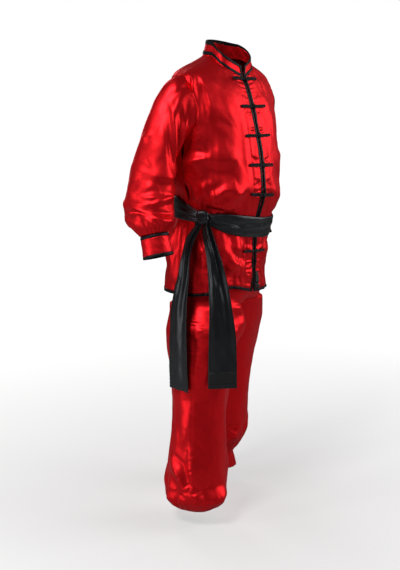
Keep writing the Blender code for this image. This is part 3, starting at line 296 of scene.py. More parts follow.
RIGHT_LEG_FOLDS = (
    # angle_1, height_1, angle_2, height_2, bow, width, rise
    (108, 0.745, 80, 0.660, -0.20, 0.0110, 0.0140),
    (80, 0.690, 95, 0.580, -0.25, 0.0100, 0.0130),
    (122, 0.740, 110, 0.620, 0.10, 0.0120, 0.0110),
    (97, 0.700, 104, 0.620, 0.00, 0.0110, -0.0070),
    (166, 0.735, 160, 0.560, 0.04, 0.0150, 0.0120),
    (163, 0.580, 172, 0.400, -0.04, 0.0140, 0.0110),
    (196, 0.690, 170, 0.600, 0.10, 0.0080, 0.0070),
    (190, 0.540, 186, 0.400, -0.06, 0.0120, 0.0065),
    (174, 0.440, 208, 0.255, -0.06, 0.0140, 0.0085),
    (214, 0.450, 226, 0.290, 0.05, 0.0120, -0.0050),
    (181, 0.290, 172, 0.130, 0.03, 0.0080, 0.0090),
    (150, 0.500, 138, 0.280, 0.04, 0.0200, -0.0040),
    (112, 0.610, 98, 0.400, 0.06, 0.0160, 0.0065),
    (238, 0.225, 188, 0.108, -0.10, 0.0075, 0.0125),
    (228, 0.175, 204, 0.110, -0.04, 0.0090, -0.0070),
    (190, 0.112, 206, 0.066, -0.10, 0.0070, 0.0060),
    (240, 0.110, 208, 0.066, 0.14, 0.0060, 0.0075),
    (181, 0.140, 148, 0.088, 0.16, 0.0095, 0.0120),
    (152, 0.086, 96, 0.124, 0.10, 0.0100, 0.0120),
    (104, 0.108, 132, 0.060, 0.06, 0.0080, 0.0050),
    (166, 0.140, 104, 0.142, 0.10, 0.0120, -0.0080),
    (60, 0.640, 96, 0.330, 0.05, 0.0160, -0.0070),
    (30, 0.580, 46, 0.250, 0.05, 0.0150, 0.0080),
    (76, 0.240, 30, 0.110, 0.10, 0.0085, 0.0095),
    (58, 0.130, 14, 0.080, 0.12, 0.0070, 0.0080),
    (350, 0.260, 300, 0.110, 0.10, 0.0095, 0.0095),
    (330, 0.110, 280, 0.080, -0.12, 0.0070, 0.0080),
    (276, 0.210, 244, 0.100, 0.10, 0.0080, 0.0085),
    (262, 0.640, 290, 0.380, 0.05, 0.0160, 0.0080),
    (300, 0.650, 332, 0.430, 0.05, 0.0150, -0.0070),
    (236, 0.690, 252, 0.500, 0.05, 0.0130, 0.0070),
)
LEFT_LEG_FOLDS = (
    # angle_1, height_1, angle_2, height_2, bow, width, rise
    (60, 0.640, 40, 0.420, 0.06, 0.0200, 0.0050),
    (90, 0.640, 104, 0.430, 0.06, 0.0160, 0.0055),
    (20, 0.480, 36, 0.250, 0.05, 0.0160, -0.0050),
    (60, 0.240, 20, 0.160, 0.12, 0.0080, 0.0080),
    (10, 0.200, 60, 0.158, 0.14, 0.0070, 0.0070),
    (110, 0.260, 70, 0.170, 0.10, 0.0090, 0.0070),
    (150, 0.640, 176, 0.420, 0.05, 0.0170, 0.0060),
    (170, 0.300, 130, 0.170, 0.10, 0.0100, 0.0080),
    (200, 0.560, 220, 0.360, 0.05, 0.0160, -0.0050),
    (230, 0.640, 260, 0.380, 0.05, 0.0180, 0.0065),
    (250, 0.280, 214, 0.160, 0.10, 0.0100, 0.0080),
    (300, 0.260, 320, 0.165, 0.10, 0.0090, 0.0075),
    (290, 0.620, 330, 0.420, 0.05, 0.0170, 0.0050),
    (350, 0.230, 322, 0.158, 0.10, 0.0080, 0.0060),
)

# The sash's tails, down from the knot.
FRONT_TAIL = (
    # drop, x, y, width, fold, facing
    (0.0290, -0.179, -0.091, 0.026, 0.0050, -54),
    (0.065, -0.179, -0.100, 0.035, 0.0065, -48),
    (0.115, -0.171, -0.111, 0.042, 0.0062, -43),
    (0.190, -0.162, -0.121, 0.056, 0.0050, -40),
    (0.270, -0.160, -0.132, 0.069, 0.0040, -40),
    (0.360, -0.159, -0.139, 0.083, 0.0028, -40),
    (0.450, -0.157, -0.139, 0.089, 0.0018, -41),
    (0.535, -0.156, -0.138, 0.091, 0.0012, -42),
)
BACK_TAIL = (
    # drop, x, y, width, fold, facing
    (0.0290, -0.193, -0.068, 0.024, 0.0050, -66),
    (0.065, -0.202, -0.045, 0.036, 0.0070, -80),
    (0.115, -0.211, -0.034, 0.046, 0.0062, -90),
    (0.190, -0.217, -0.027, 0.060, 0.0050, -94),
    (0.270, -0.226, -0.018, 0.076, 0.0038, -97),
    (0.360, -0.233, -0.019, 0.086, 0.0026, -99),
    (0.450, -0.233, -0.020, 0.090, 0.0018, -99),
    (0.545, -0.230, -0.020, 0.091, 0.0012, -98),
)


class UniformLooks(bpy.types.PropertyGroup):
    """Colours and fine sizes of the cloth."""

    red: bpy.props.FloatVectorProperty(
        name="Red satin", description="Colour of the red satin", subtype="COLOR", size=3, default=(0.86, 0.009, 0.015))
    red_gleam: bpy.props.FloatVectorProperty(
        name="Red gleam", description="Tint of the red satin's highlights", subtype="COLOR", size=3,
        default=(1.0, 0.62, 0.66))
    black: bpy.props.FloatVectorProperty(
        name="Black satin", description="Colour of the sash and bindings", subtype="COLOR", size=3,
        default=(0.004, 0.004, 0.005))
    roughness: bpy.props.FloatProperty(
        name="Satin roughness", description="How wide the satin's highlights are", default=0.40, min=0.1, max=0.8)
    shell: bpy.props.FloatProperty(
        name="Cloth", description="Thickness of the satin", default=0.0007, min=0.0002, unit="LENGTH")
    fold_depth: bpy.props.FloatProperty(
        name="Fold depth", description="Scales every fold that was placed by hand", default=1.0, min=0.0, max=2.0)
    pucker: bpy.props.FloatProperty(
        name="Seam pucker", description="Height of the puckers beside seams", default=0.0016, unit="LENGTH")
    stitch: bpy.props.FloatProperty(
        name="Stitch", description="Length of one stitch", default=0.0026, min=0.001, unit="LENGTH")


class UniformStage(bpy.types.PropertyGroup):
    """Camera, floor and lights."""

    azimuth: bpy.props.FloatProperty(
        name="Azimuth", description="Side from which the camera looks", subtype="ANGLE", default=math.radians(-50))
    distance: bpy.props.FloatProperty(
        name="Distance", description="From the camera to the body's axis", default=3.2, unit="LENGTH")
    height: bpy.props.FloatProperty(
        name="Height", description="Of the camera above the floor", default=1.30, unit="LENGTH")
    tilt: bpy.props.FloatProperty(
        name="Tilt", description="Of the camera below the horizon", subtype="ANGLE", default=math.radians(6))
    swing: bpy.props.FloatProperty(
        name="Swing", description="Of the camera to the side of the axis", subtype="ANGLE", default=math.radians(1.24))
    focal_pixels: bpy.props.FloatProperty(
        name="Focal length", description="In pixels of the photograph", default=985.0)
    shift: bpy.props.FloatProperty(
        name="Shift", description="Of the picture, as a share of its height", default=-0.12)
    key: bpy.props.FloatProperty(name="Key light", description="Power in watts", default=50.0)
    side: bpy.props.FloatProperty(name="Side light", description="Power in watts", default=15.0)
    fill: bpy.props.FloatProperty(name="Fill light", description="Power in watts", default=33.0)
    rim: bpy.props.FloatProperty(name="Rim light", description="Power in watts", default=9.0)
    room: bpy.props.FloatProperty(name="Room light", description="Brightness of the surroundings", default=0.105)


def interpolate(rows, where):
    """Each column of a table at these values of its first column, on a smooth cubic through its rows."""
    table = np.array(rows, float)
    knots, values = table[:, 0], table[:, 1:]
    slopes = np.gradient(values, knots, axis=0)
    where = np.asarray(where, float)
    index = np.clip(np.searchsorted(knots, where) - 1, 0, len(knots) - 2)
    step = (knots[index + 1] - knots[index])[..., None]
    q = np.clip((where - knots[index])[..., None] / step, 0, 1)
    start = (2 * q**3 - 3 * q**2 + 1) * values[index] + (q**3 - 2 * q**2 + q) * step * slopes[index]
    end = (3 * q**2 - 2 * q**3) * values[index + 1] + (q**3 - q**2) * step * slopes[index + 1]
    return np.moveaxis(start + end, -1, 0)


def unit(vectors):
    """The same directions at length 1."""
    return vectors / np.maximum(np.linalg.norm(vectors, axis=-1, keepdims=True), 1e-12)


def smooth(values, low, high):
    """0 below low, 1 above high and 3q^2 - 2q^3 between."""
    q = np.clip((values - low) / (high - low), 0, 1)
    return q * q * (3 - 2 * q)


def ripple(x, y, size, seed, waves=9):
    """A seeded, uneven swell of about 1 high: a sum of sines of about this wavelength, in directions all round."""
    rng = np.random.default_rng(seed)
    total = np.zeros(np.broadcast(x, y).shape)
    for _ in range(waves):
        turn = rng.uniform(0, 2 * np.pi)
        length = size * rng.uniform(0.7, 1.7)
        phase = rng.uniform(0, 2 * np.pi)
        total += np.sin((x * np.cos(turn) + y * np.sin(turn)) * 2 * np.pi / length + phase + 0.6 * np.sin(total))
    return total / math.sqrt(waves)


def drapes(x, y, width, length, seed):
    """Soft uneven folds about 1 high, this wide and this long: 1 - 2 |s|^1.4 of a swell that is stretched along y."""
    bend = 0.35 * width * ripple(x * 0.3, y, length * 0.8, seed + 1)
    swell = np.sin((x + bend) * np.pi / width + 1.6 * ripple(x, y * width / length, width * 3.2, seed + 2))
    strength = 0.5 + 0.5 * ripple(x, y * width / length, width * 2.6, seed + 3)
    return (1 - 2 * np.abs(swell) ** 1.4) * np.clip(strength, 0, 1.3)


def fold_relief(folds, across, along, metres, breadth):
    """Height of the folds: along each bowed curve, rise * exp(-(d/width)^1.7) less a shallow trough on either side.

    d is the distance from the curve in metres, steeper on one side, the width is the table's times breadth, and the
    height fades towards the curve's ends.
    """
    depth = bpy.context.scene.uniform_looks.fold_depth
    across, along = np.broadcast_arrays(across, along)
    total = np.zeros(across.shape)
    x, y = across * metres[0], along * metres[1]
    share = np.linspace(0, 1, 11)[:, None]
    for number, (a1, l1, a2, l2, bow, width, rise) in enumerate(folds):
        start = np.array((a1 * metres[0], l1 * metres[1]))
        end = np.array((a2 * metres[0], l2 * metres[1]))
        run = end - start
        middle = (start + end) / 2 + 2 * bow * np.array((-run[1], run[0]))
        path = (1 - share) ** 2 * start + 2 * share * (1 - share) * middle + share**2 * end
        margin = 5 * breadth * width
        near = (x > path[:, 0].min() - margin) & (x < path[:, 0].max() + margin)
        near &= (y > path[:, 1].min() - margin) & (y < path[:, 1].max() + margin)
        if not near.any():
            continue
        px, py = x[near], y[near]
        best = np.full(px.shape, np.inf)
        place = np.zeros(px.shape)
        side = np.zeros(px.shape)
        for k in range(len(path) - 1):
            leg = path[k + 1] - path[k]
            q = np.clip(((px - path[k, 0]) * leg[0] + (py - path[k, 1]) * leg[1]) / leg.dot(leg), 0, 1)
            dx, dy = px - path[k, 0] - q * leg[0], py - path[k, 1] - q * leg[1]
            distance = np.hypot(dx, dy)
            closer = distance < best
            best = np.where(closer, distance, best)
            place = np.where(closer, (k + q) / (len(path) - 1), place)
            side = np.where(closer, np.sign(leg[0] * dy - leg[1] * dx), side)
        steep = 1 + 0.35 * side * (1 if number % 2 else -1)
        broad = breadth * width * steep * (0.75 + 0.5 * np.sin(np.pi * place) ** 2)
        taper = np.sin(np.pi * np.clip(place, 0.0, 1.0)) ** 1.1
        crest = np.exp(-((best / broad) ** 1.8)) - 0.28 * np.exp(-(((best - 2.1 * broad) / broad) ** 2))
        total[near] += rise * depth * taper * crest
    return total


def seam_puckers(along, away, reach, wave, seed):
    """Puckers beside a seam, about 1 high: short waves of uneven length and slant along it that die out over reach."""
    drift = ripple(along, away * 0.8, wave * 3.1, seed)
    slant = 0.45 * away * np.sin(along * 2 * np.pi / (wave * 7.3) + seed)
    strength = 0.35 + 0.75 * ripple(along, away * 1.2, wave * 2.2, seed + 1)
    waves = np.sin(2 * np.pi * (along + slant) / wave + 2.4 * drift)
    second = 0.5 * np.sin(2 * np.pi * (along - slant) / (wave * 0.61) + 3.4 * drift + 1.3)
    spread = reach * (1 + 0.35 * ripple(along, 0 * along, wave * 4, seed + 2))
    return (waves + second) * np.clip(strength, 0, 1.5) * np.exp(-((away / spread) ** 2))


def torso(angle, height, out=0.0):
    """A point of the jacket: a ring |x/a|^n + |y/b|^n = 1 with its own half width, front and back, turned and leant."""
    angle, height = np.broadcast_arrays(np.asarray(angle, float), np.asarray(height, float))
    half_width, front, back, centre_x, centre_y, turn, lean = interpolate(JACKET, height)
    across = np.sin(angle)
    depth = (1 - np.minimum(np.abs(across), 1) ** SQUARE) ** (1 / SQUARE)
    x = (half_width + out) * across
    y = np.where(np.cos(angle) >= 0, -(front + out), back + out) * depth
    turn = np.radians(turn)
    world_x = centre_x + x * np.cos(turn) - y * np.sin(turn)
    world_y = centre_y + x * np.sin(turn) + y * np.cos(turn)
    world_z = height - NECK_HEIGHT + lean * (LEAN_BACK * world_y - LEAN_RIGHT * world_x)
    degrees = (np.degrees(angle) + 180) % 360 - 180
    lifted = np.exp(-(((degrees - HEM_LIFT_ANGLE) / HEM_LIFT_WIDTH) ** 2))
    world_z = world_z + HEM_LIFT * lifted * np.clip((0.86 - height) / 0.12, 0, 1)
    return np.stack((world_x, world_y, world_z), axis=-1)


def torso_normal(angle, height):
    """Outward unit vector of the jacket: the cross product of its slopes round the ring and up."""
    step = 1e-3
    around = torso(angle + step, height) - torso(angle - step, height)
    along = torso(angle, height + step) - torso(angle, height - step)
    return unit(np.cross(around, along))


def jacket_relief(angle, height):
    """Folds, swells, sash gathers and placket puckers of the jacket, as a height above the plain form."""
    looks = bpy.context.scene.uniform_looks
    degrees = np.degrees(angle)
    degrees = np.where(degrees > 270, degrees - 360, degrees)
    metres = (0.0029, 1.0)
    relief = fold_relief(JACKET_FOLDS, degrees, height, metres, JACKET_BREADTH)
    x, y = degrees * metres[0], height
    relief += 0.0012 * ripple(x, y * 0.6, 0.110, 11) + 0.00012 * ripple(x, y, 0.030, 12)
    from_belt = np.abs(height - BELT_HEIGHT)
    gather = np.sin(x * 2 * np.pi / 0.030 + 2.2 * ripple(x, y * 0.4, 0.09, 13))
    relief += 0.0018 * gather * np.exp(-((from_belt / 0.065) ** 2)) * (0.6 + 0.4 * ripple(x, y * 0, 0.11, 14))
    hidden = smooth(np.abs(degrees), 88, 112)
    relief += (0.0006 + 0.0016 * hidden) * drapes(x, y, 0.034, 0.20, 17)
    relief += 0.0011 * smooth(1.0 - height, 0.0, 0.05) * drapes(x, y, 0.030, 0.16, 18)
    relief += 0.0022 * smooth(0.95 - height, 0.0, 0.06) * ripple(x, y * 0.7, 0.066, 23)
    from_edge = np.abs(interpolate(JACKET, height)[0] * np.sin(angle)) + 9 * (np.cos(angle) < 0)
    along = height + 0 * x
    lively = 0.55 + 0.45 * np.sin((height - 0.80) * 21) ** 2
    facing = np.exp(-(((from_edge - 0.027) / 0.013) ** 2)) * smooth(from_edge, 0.011, 0.017)
    relief += looks.pucker * 3.0 * lively * facing * seam_puckers(along, 0.4 * from_edge, 0.05, 0.0165, 15)
    relief -= 0.0010 * np.exp(-(((from_edge - 0.046) / 0.0022) ** 2)) * smooth(1.40 - height, 0, 0.03)
    from_hem = np.abs(height - HEM_HEIGHT)
    relief += looks.pucker * 0.7 * seam_puckers(x, from_hem, 0.016, 0.017, 16)
    pressed = SASH_STANDOFF - 0.0022 + 0.05 * smooth(from_belt, SASH_WRAP_HEIGHT / 2 + 0.003, SASH_WRAP_HEIGHT / 2 + 0.030)
    relief = np.minimum(relief, pressed)
    return relief * smooth(SHOULDER_HEIGHT + 0.055 - height, 0, 0.05)


def jacket_point(angle, height, out=0.0, relief=None):
    """A point of the jacket with its relief, moved outwards by out."""
    relief = jacket_relief(angle, height) if relief is None else relief
    return torso(angle, height) + torso_normal(angle, height) * (relief + out)[..., None]


def row_heights(rows):
    """Heights of the rows at the front edge, at the sides and at the middle of the back, from hem to neck."""
    below, armhole, seam = (rows * 2) // 3, rows // 4, rows - (rows * 2) // 3 - rows // 4
    lower = np.linspace(HEM_HEIGHT, ARMPIT_HEIGHT, below + 1)
    side = np.concatenate((lower, np.linspace(ARMPIT_HEIGHT, SHOULDER_HEIGHT, armhole + 1)[1:],
                           np.linspace(SHOULDER_HEIGHT, NECK_POINT_HEIGHT, seam + 1)[1:]))
    rise = np.linspace(0, 1, armhole + seam + 1)[1:]
    front = np.concatenate((lower, ARMPIT_HEIGHT + (NECK_PIT_HEIGHT - ARMPIT_HEIGHT) * rise))
    back = np.concatenate((lower, ARMPIT_HEIGHT + (NECK_BACK_HEIGHT - ARMPIT_HEIGHT) * rise))
    return front, side, back, armhole


def armhole_inset(side_height, inset):
    """How far the armhole cuts in from the side, as an angle: inset * sin(pi q)^0.55 between armpit and shoulder."""
    share = np.clip((side_height - ARMPIT_HEIGHT) / (SHOULDER_HEIGHT - ARMPIT_HEIGHT), 0, 1)
    return inset * np.sin(np.pi * share) ** 0.55


def edge_angle(height, offset):
    """Angle at which the jacket lies this far from the middle of the front."""
    return np.arcsin(offset / interpolate(JACKET, height)[0])


def front_angles(rows, columns, start=EDGE_GAP + EDGE_TRIM - 0.001):
    """Angles and heights of the left front: columns from its edge to the side, rows from hem to neck."""
    front, side, _, _ = row_heights(rows)
    share = np.linspace(0, 1, columns + 1) ** 1.25
    first = edge_angle(front, start)
    last = np.pi / 2 - armhole_inset(side, ARMHOLE_FRONT)
    angle = first[:, None] + (last - first)[:, None] * share
    rise = np.sin(np.pi / 2 * share) ** 0.9
    return angle, front[:, None] + (side - front)[:, None] * rise


def back_angles(rows, columns):
    """Angles and heights of the back: columns from the left side round to the right one."""
    _, side, back, _ = row_heights(rows)
    share = np.linspace(0, 1, columns + 1)
    first = np.pi / 2 + armhole_inset(side, ARMHOLE_BACK)
    angle = first[:, None] + (2 * np.pi - 2 * first)[:, None] * share
    rise = np.sin(np.pi * share) ** 0.9
    return angle, side[:, None] + (back - side)[:, None] * rise


def lengths(grid, axis):
    """Distance along the grid's rows or columns from its first point, in metres."""
    steps = np.linalg.norm(np.diff(grid, axis=axis), axis=-1)
    return np.insert(np.cumsum(steps, axis=axis), 0, 0, axis=axis)


def edge_distance(grid, columns=(), rows=()):
    """Distance of each point from the nearest of these edge columns and rows of its grid."""
    best = np.full(grid.shape[:2], 9.0)
    if columns:
        run = lengths(grid, 1)
        for column in columns:
            best = np.minimum(best, np.abs(run - run[:, [column]]))
    if rows:
        run = lengths(grid, 0)
        for row in rows:
            best = np.minimum(best, np.abs(run - run[[row], :]))
    return best


def sunk_seams(distance):
    """How far cloth dips at a seam: -SEAM_DEPTH * exp(-(d / SEAM_REACH)^2)."""
    return -SEAM_DEPTH * np.exp(-((distance / SEAM_REACH) ** 2))


def normals_of(grid, closed=False):
    """Unit normals of a grid, the cross product of its slopes along columns and rows."""
    along = np.gradient(grid, axis=0)
    around = np.gradient(grid, axis=1)
    if closed:
        around[:, 0] = around[:, -1] = (grid[:, 1] - grid[:, -2]) / 2
    return unit(np.cross(around, along))


def strip_grid(line, outward, across, width, bulge, columns=7):
    """A rounded strip along a line: across * width * q, raised by bulge * sqrt(1 - (2q - 1)^2) for q from 0 to 1."""
    q = np.linspace(0, 1, columns)
    raised = bulge * np.sqrt(np.clip(1 - (2 * q - 1) ** 2, 0, 1))
    return line[:, None] + across[:, None] * (width * q)[:, None] + outward[:, None] * raised[:, None]


def material(name):
    """One of the uniform's materials, made on first use."""
    made = bpy.data.materials.get(name)
    if made is None:
        made = bpy.data.materials.new(name)
        made.use_nodes = True
        MATERIALS[name](made.node_tree)
    return made


def link(tree, source, target, output=0):
    """Joins a node's output to another's input."""
    tree.links.new(source.outputs[output], target)


def cut_coordinates(tree, scale):
    """The piece's own map in metres of cloth, stretched by scale."""
    cloth = tree.nodes.new("ShaderNodeUVMap")
    cloth.uv_map = "Cut"
    mapping = tree.nodes.new("ShaderNodeMapping")
    mapping.inputs["Scale"].default_value = scale
    link(tree, cloth, mapping.inputs["Vector"])
    return mapping


def noise_on(tree, scale, size, detail=3.0):
    """A noise pattern on the cut cloth."""
    pattern = tree.nodes.new("ShaderNodeTexNoise")
    pattern.inputs["Scale"].default_value = size
    pattern.inputs["Detail"].default_value = detail
    link(tree, cut_coordinates(tree, scale), pattern.inputs["Vector"])
    return pattern


def blend_colours(tree, factor, dark, light):
    """A colour between dark and light by the factor node."""
    mix = tree.nodes.new("ShaderNodeMix")
    mix.data_type = "RGBA"
    mix.inputs["A"].default_value = (*dark, 1)
    mix.inputs["B"].default_value = (*light, 1)
    link(tree, factor, mix.inputs["Factor"])
    return mix


def map_range(tree, source, low, high):
    """The source's 0 to 1 moved to low to high."""
    ranged = tree.nodes.new("ShaderNodeMapRange")
    ranged.inputs["To Min"].default_value = low
    ranged.inputs["To Max"].default_value = high
    link(tree, source, ranged.inputs["Value"])
    return ranged


def bump_of(tree, pattern, strength, distance, under=None):
    """A bump node from a pattern, on top of another bump where one is given."""
    bump = tree.nodes.new("ShaderNodeBump")
    bump.inputs["Strength"].default_value = strength
    bump.inputs["Distance"].default_value = distance
    link(tree, pattern, bump.inputs["Height"])
    if under is not None:
        link(tree, under, bump.inputs["Normal"])
    return bump


def satin(tree, colour, gleam, metallic, roughness, sheen, specular=0.60):
    """Satin: long warp floats as fine stretched noise, soft slubs, and a gleam tinted by the cloth."""
    shader = tree.nodes["Principled BSDF"]
    broad = noise_on(tree, (1, 1, 1), 14.0)
    dark = tuple(c * 0.82 for c in colour)
    light = tuple(min(1.0, c * 1.14) for c in colour)
    link(tree, blend_colours(tree, broad, dark, light), shader.inputs["Base Color"], 2)
    slub = noise_on(tree, (1.0, 9.0, 1), 60.0)
    link(tree, map_range(tree, slub, roughness - 0.02, roughness + 0.03), shader.inputs["Roughness"])
    floats = noise_on(tree, (1.0, 0.12, 1), 2600.0, 1.0)
    weave = bump_of(tree, floats, 0.02, 0.0002)
    link(tree, weave, shader.inputs["Normal"])
    shader.inputs["Metallic"].default_value = metallic
    shader.inputs["Specular Tint"].default_value = (*gleam, 1)
    shader.inputs["Specular IOR Level"].default_value = specular
    shader.inputs["Anisotropic"].default_value = 0.45
    across = tree.nodes.new("ShaderNodeTangent")
    across.direction_type = "UV_MAP"
    across.uv_map = "Cut"
    link(tree, across, shader.inputs["Tangent"])
    shader.inputs["Sheen Weight"].default_value = sheen
    shader.inputs["Sheen Roughness"].default_value = 0.35
    shader.inputs["Sheen Tint"].default_value = (*gleam, 1)


def red_satin(tree):
    """The red satin of the jacket and trousers."""
    looks = bpy.context.scene.uniform_looks
    satin(tree, tuple(looks.red), tuple(looks.red_gleam), 0.76, looks.roughness, 0.02, 0.42)


def black_satin(tree):
    """The black satin of the sash."""
    looks = bpy.context.scene.uniform_looks
    satin(tree, tuple(looks.black), (0.9, 0.95, 1.0), 0.0, looks.roughness - 0.04, 0.01, 0.60)


def binding_satin(tree):
    """The narrower black satin of the bindings, a little duller than the sash."""
    looks = bpy.context.scene.uniform_looks
    satin(tree, tuple(looks.black), (0.9, 0.95, 1.0), 0.0, looks.roughness + 0.06, 0.01, 0.22)


def braid(tree):
    """Matt corded braid: slanting threads round the cord."""
    shader = tree.nodes["Principled BSDF"]
    threads = tree.nodes.new("ShaderNodeTexWave")
    threads.wave_type = "BANDS"
    threads.bands_direction = "DIAGONAL"
    threads.inputs["Scale"].default_value = 260.0
    threads.inputs["Distortion"].default_value = 0.8
    link(tree, cut_coordinates(tree, (1, 1, 1)), threads.inputs["Vector"])
    link(tree, blend_colours(tree, threads, (0.002, 0.002, 0.003), (0.010, 0.010, 0.011)),
         shader.inputs["Base Color"], 2)
    link(tree, bump_of(tree, threads, 0.6, 0.0005), shader.inputs["Normal"])
    shader.inputs["Roughness"].default_value = 0.62
    shader.inputs["Sheen Weight"].default_value = 0.02
    shader.inputs["Specular IOR Level"].default_value = 0.25


def woven_label(tree):
    """A plain black woven label: fine crosswise ribs."""
    shader = tree.nodes["Principled BSDF"]
    ribs = tree.nodes.new("ShaderNodeTexWave")
    ribs.bands_direction = "Y"
    ribs.inputs["Scale"].default_value = 420.0
    ribs.inputs["Distortion"].default_value = 0.3
    link(tree, cut_coordinates(tree, (1, 1, 1)), ribs.inputs["Vector"])
    link(tree, blend_colours(tree, ribs, (0.003, 0.003, 0.004), (0.008, 0.008, 0.009)),
         shader.inputs["Base Color"], 2)
    link(tree, bump_of(tree, ribs, 0.3, 0.0002), shader.inputs["Normal"])
    shader.inputs["Roughness"].default_value = 0.55


def thread(tree, colour):
    """Sewing thread: the cloth's colour with a slight twist."""
    shader = tree.nodes["Principled BSDF"]
    twist = tree.nodes.new("ShaderNodeTexNoise")
    twist.inputs["Scale"].default_value = 900.0
    place = tree.nodes.new("ShaderNodeTexCoord")
    link(tree, place, twist.inputs["Vector"], 3)
    dark = tuple(c * 0.7 for c in colour)
    link(tree, blend_colours(tree, twist, dark, colour), shader.inputs["Base Color"], 2)
    shader.inputs["Roughness"].default_value = 0.5


def red_thread(tree):
    """Thread in the red of the satin."""
    thread(tree, (0.42, 0.010, 0.016))


def black_thread(tree):
    """Thread in the black of the bindings."""
    thread(tree, (0.020, 0.020, 0.022))


def pale_floor(tree):
    """Smooth white studio floor: it shows soft shadows near the uniform and fades into the white room further out. Its
    white is a painted glow that only the camera sees, from half strength near the middle to full strength 3.2 m out.
    """
    shader = tree.nodes["Principled BSDF"]
    grain = tree.nodes.new("ShaderNodeTexNoise")
    grain.inputs["Scale"].default_value = 3.0
    link(tree, blend_colours(tree, grain, (0.42, 0.42, 0.42), (0.46, 0.46, 0.46)), shader.inputs["Base Color"], 2)
    shader.inputs["Roughness"].default_value = 0.8
    place = tree.nodes.new("ShaderNodeTexCoord")
    distance = tree.nodes.new("ShaderNodeVectorMath")
    distance.operation = "LENGTH"
    link(tree, place, distance.inputs[0], 3)
    # Painted glow: white emission that rises from 0.5 at 0.3 m to 1.0 at 3.2 m from the floor's middle.
    fade = map_range(tree, distance, 0.50, 1.0)
    fade.inputs["From Min"].default_value = 0.3
    fade.inputs["From Max"].default_value = 3.2
    tree.links.new(distance.outputs["Value"], fade.inputs["Value"])
    # Only camera rays see the painted glow, so it lights nothing.
    path = tree.nodes.new("ShaderNodeLightPath")
    seen = tree.nodes.new("ShaderNodeMath")
    seen.operation = "MULTIPLY"
    link(tree, fade, seen.inputs[0])
    link(tree, path, seen.inputs[1])
    shader.inputs["Emission Color"].default_value = (1, 1, 1, 1)
    link(tree, seen, shader.inputs["Emission Strength"])


MATERIALS = {
    "Red satin": red_satin,
    "Black satin": black_satin,
    "Binding satin": binding_satin,
    "Corded braid": braid,
    "Woven label": woven_label,
    "Red thread": red_thread,
    "Black thread": black_thread,
    "Studio floor": pale_floor,
}


def mesh_piece(name, points, quads, uv, look, nodes, shell=None):
    """A piece of the uniform as an object at the origin, riding on the only body."""
    mesh = bpy.data.meshes.new(name)
    mesh.from_pydata(points.reshape(-1, 3), [], quads)
    layer = mesh.uv_layers.new(name="Cut")
    corner = np.empty(len(mesh.loops), np.int32)
    mesh.loops.foreach_get("vertex_index", corner)
    layer.data.foreach_set("uv", uv.reshape(-1, 2)[corner].astype(np.float32).ravel())
    mesh.materials.append(material(look))
    mesh.shade_smooth()
    obj = bpy.data.objects.new(name, mesh)
    bpy.context.scene.collection.objects.link(obj)
    if shell:
        solid = obj.modifiers.new("Cloth", "SOLIDIFY")
        solid.thickness = shell
        solid.offset = -1
    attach(obj, "root")
    if nodes:
        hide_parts(*nodes)
    return obj


def grid_quads(rows, columns, flip):
    """Quads of a grid of points, turned over where flip is true."""
    index = np.arange(rows * columns).reshape(rows, columns)
    quads = np.stack((index[:-1, :-1], index[:-1, 1:], index[1:, 1:], index[1:, :-1]), axis=-1).reshape(-1, 4)
    return quads[:, ::-1] if flip else quads


def cloth(name, grid, outward, look, slot, nodes, shell=None, closed=False):
    """A grid of cloth as a thin shell. Its outer face looks along outward, and its map is in metres of cloth."""
    rows, columns = grid.shape[:2]
    across = lengths(grid, 1).mean(axis=0)
    up = lengths(grid, 0).mean(axis=1)
    uv = np.stack(np.broadcast_arrays(across[None, :], up[:, None]), axis=-1)
    facing = (normals_of(grid) * outward).sum() > 0
    quads = grid_quads(rows, columns, not facing)
    points = grid
    if closed:
        wrap = np.arange(rows * columns).reshape(rows, columns)
        wrap[:, -1] = wrap[:, 0]
        keep = np.unique(wrap)
        number = np.full(rows * columns, -1)
        number[keep] = np.arange(len(keep))
        quads = number[wrap.ravel()][quads]
        points = grid.reshape(-1, 3)[keep]
        uv = uv.reshape(-1, 2)[keep]
    shell = bpy.context.scene.uniform_looks.shell if shell is None else shell
    return mesh_piece(name, points, quads, uv, look, nodes, shell)


def tube_mesh(path, across, up, radius_across, radius_up, sides=10):
    """A tube's grid: round each point of a path, across * ra * cos t + up * ru * sin t."""
    turn = np.linspace(0, 2 * np.pi, sides + 1)
    ring = across[:, None] * (radius_across[:, None] * np.cos(turn))[..., None]
    ring = ring + up[:, None] * (radius_up[:, None] * np.sin(turn))[..., None]
    return path[:, None] + ring


def capped(grid):
    """Closes both ends of a tube's grid by a last ring drawn in to its middle."""
    first = grid[:1].mean(axis=1, keepdims=True) + (grid[:1] - grid[:1].mean(axis=1, keepdims=True)) * 0.02
    last = grid[-1:].mean(axis=1, keepdims=True) + (grid[-1:] - grid[-1:].mean(axis=1, keepdims=True)) * 0.02
    return np.concatenate((first, grid, last))


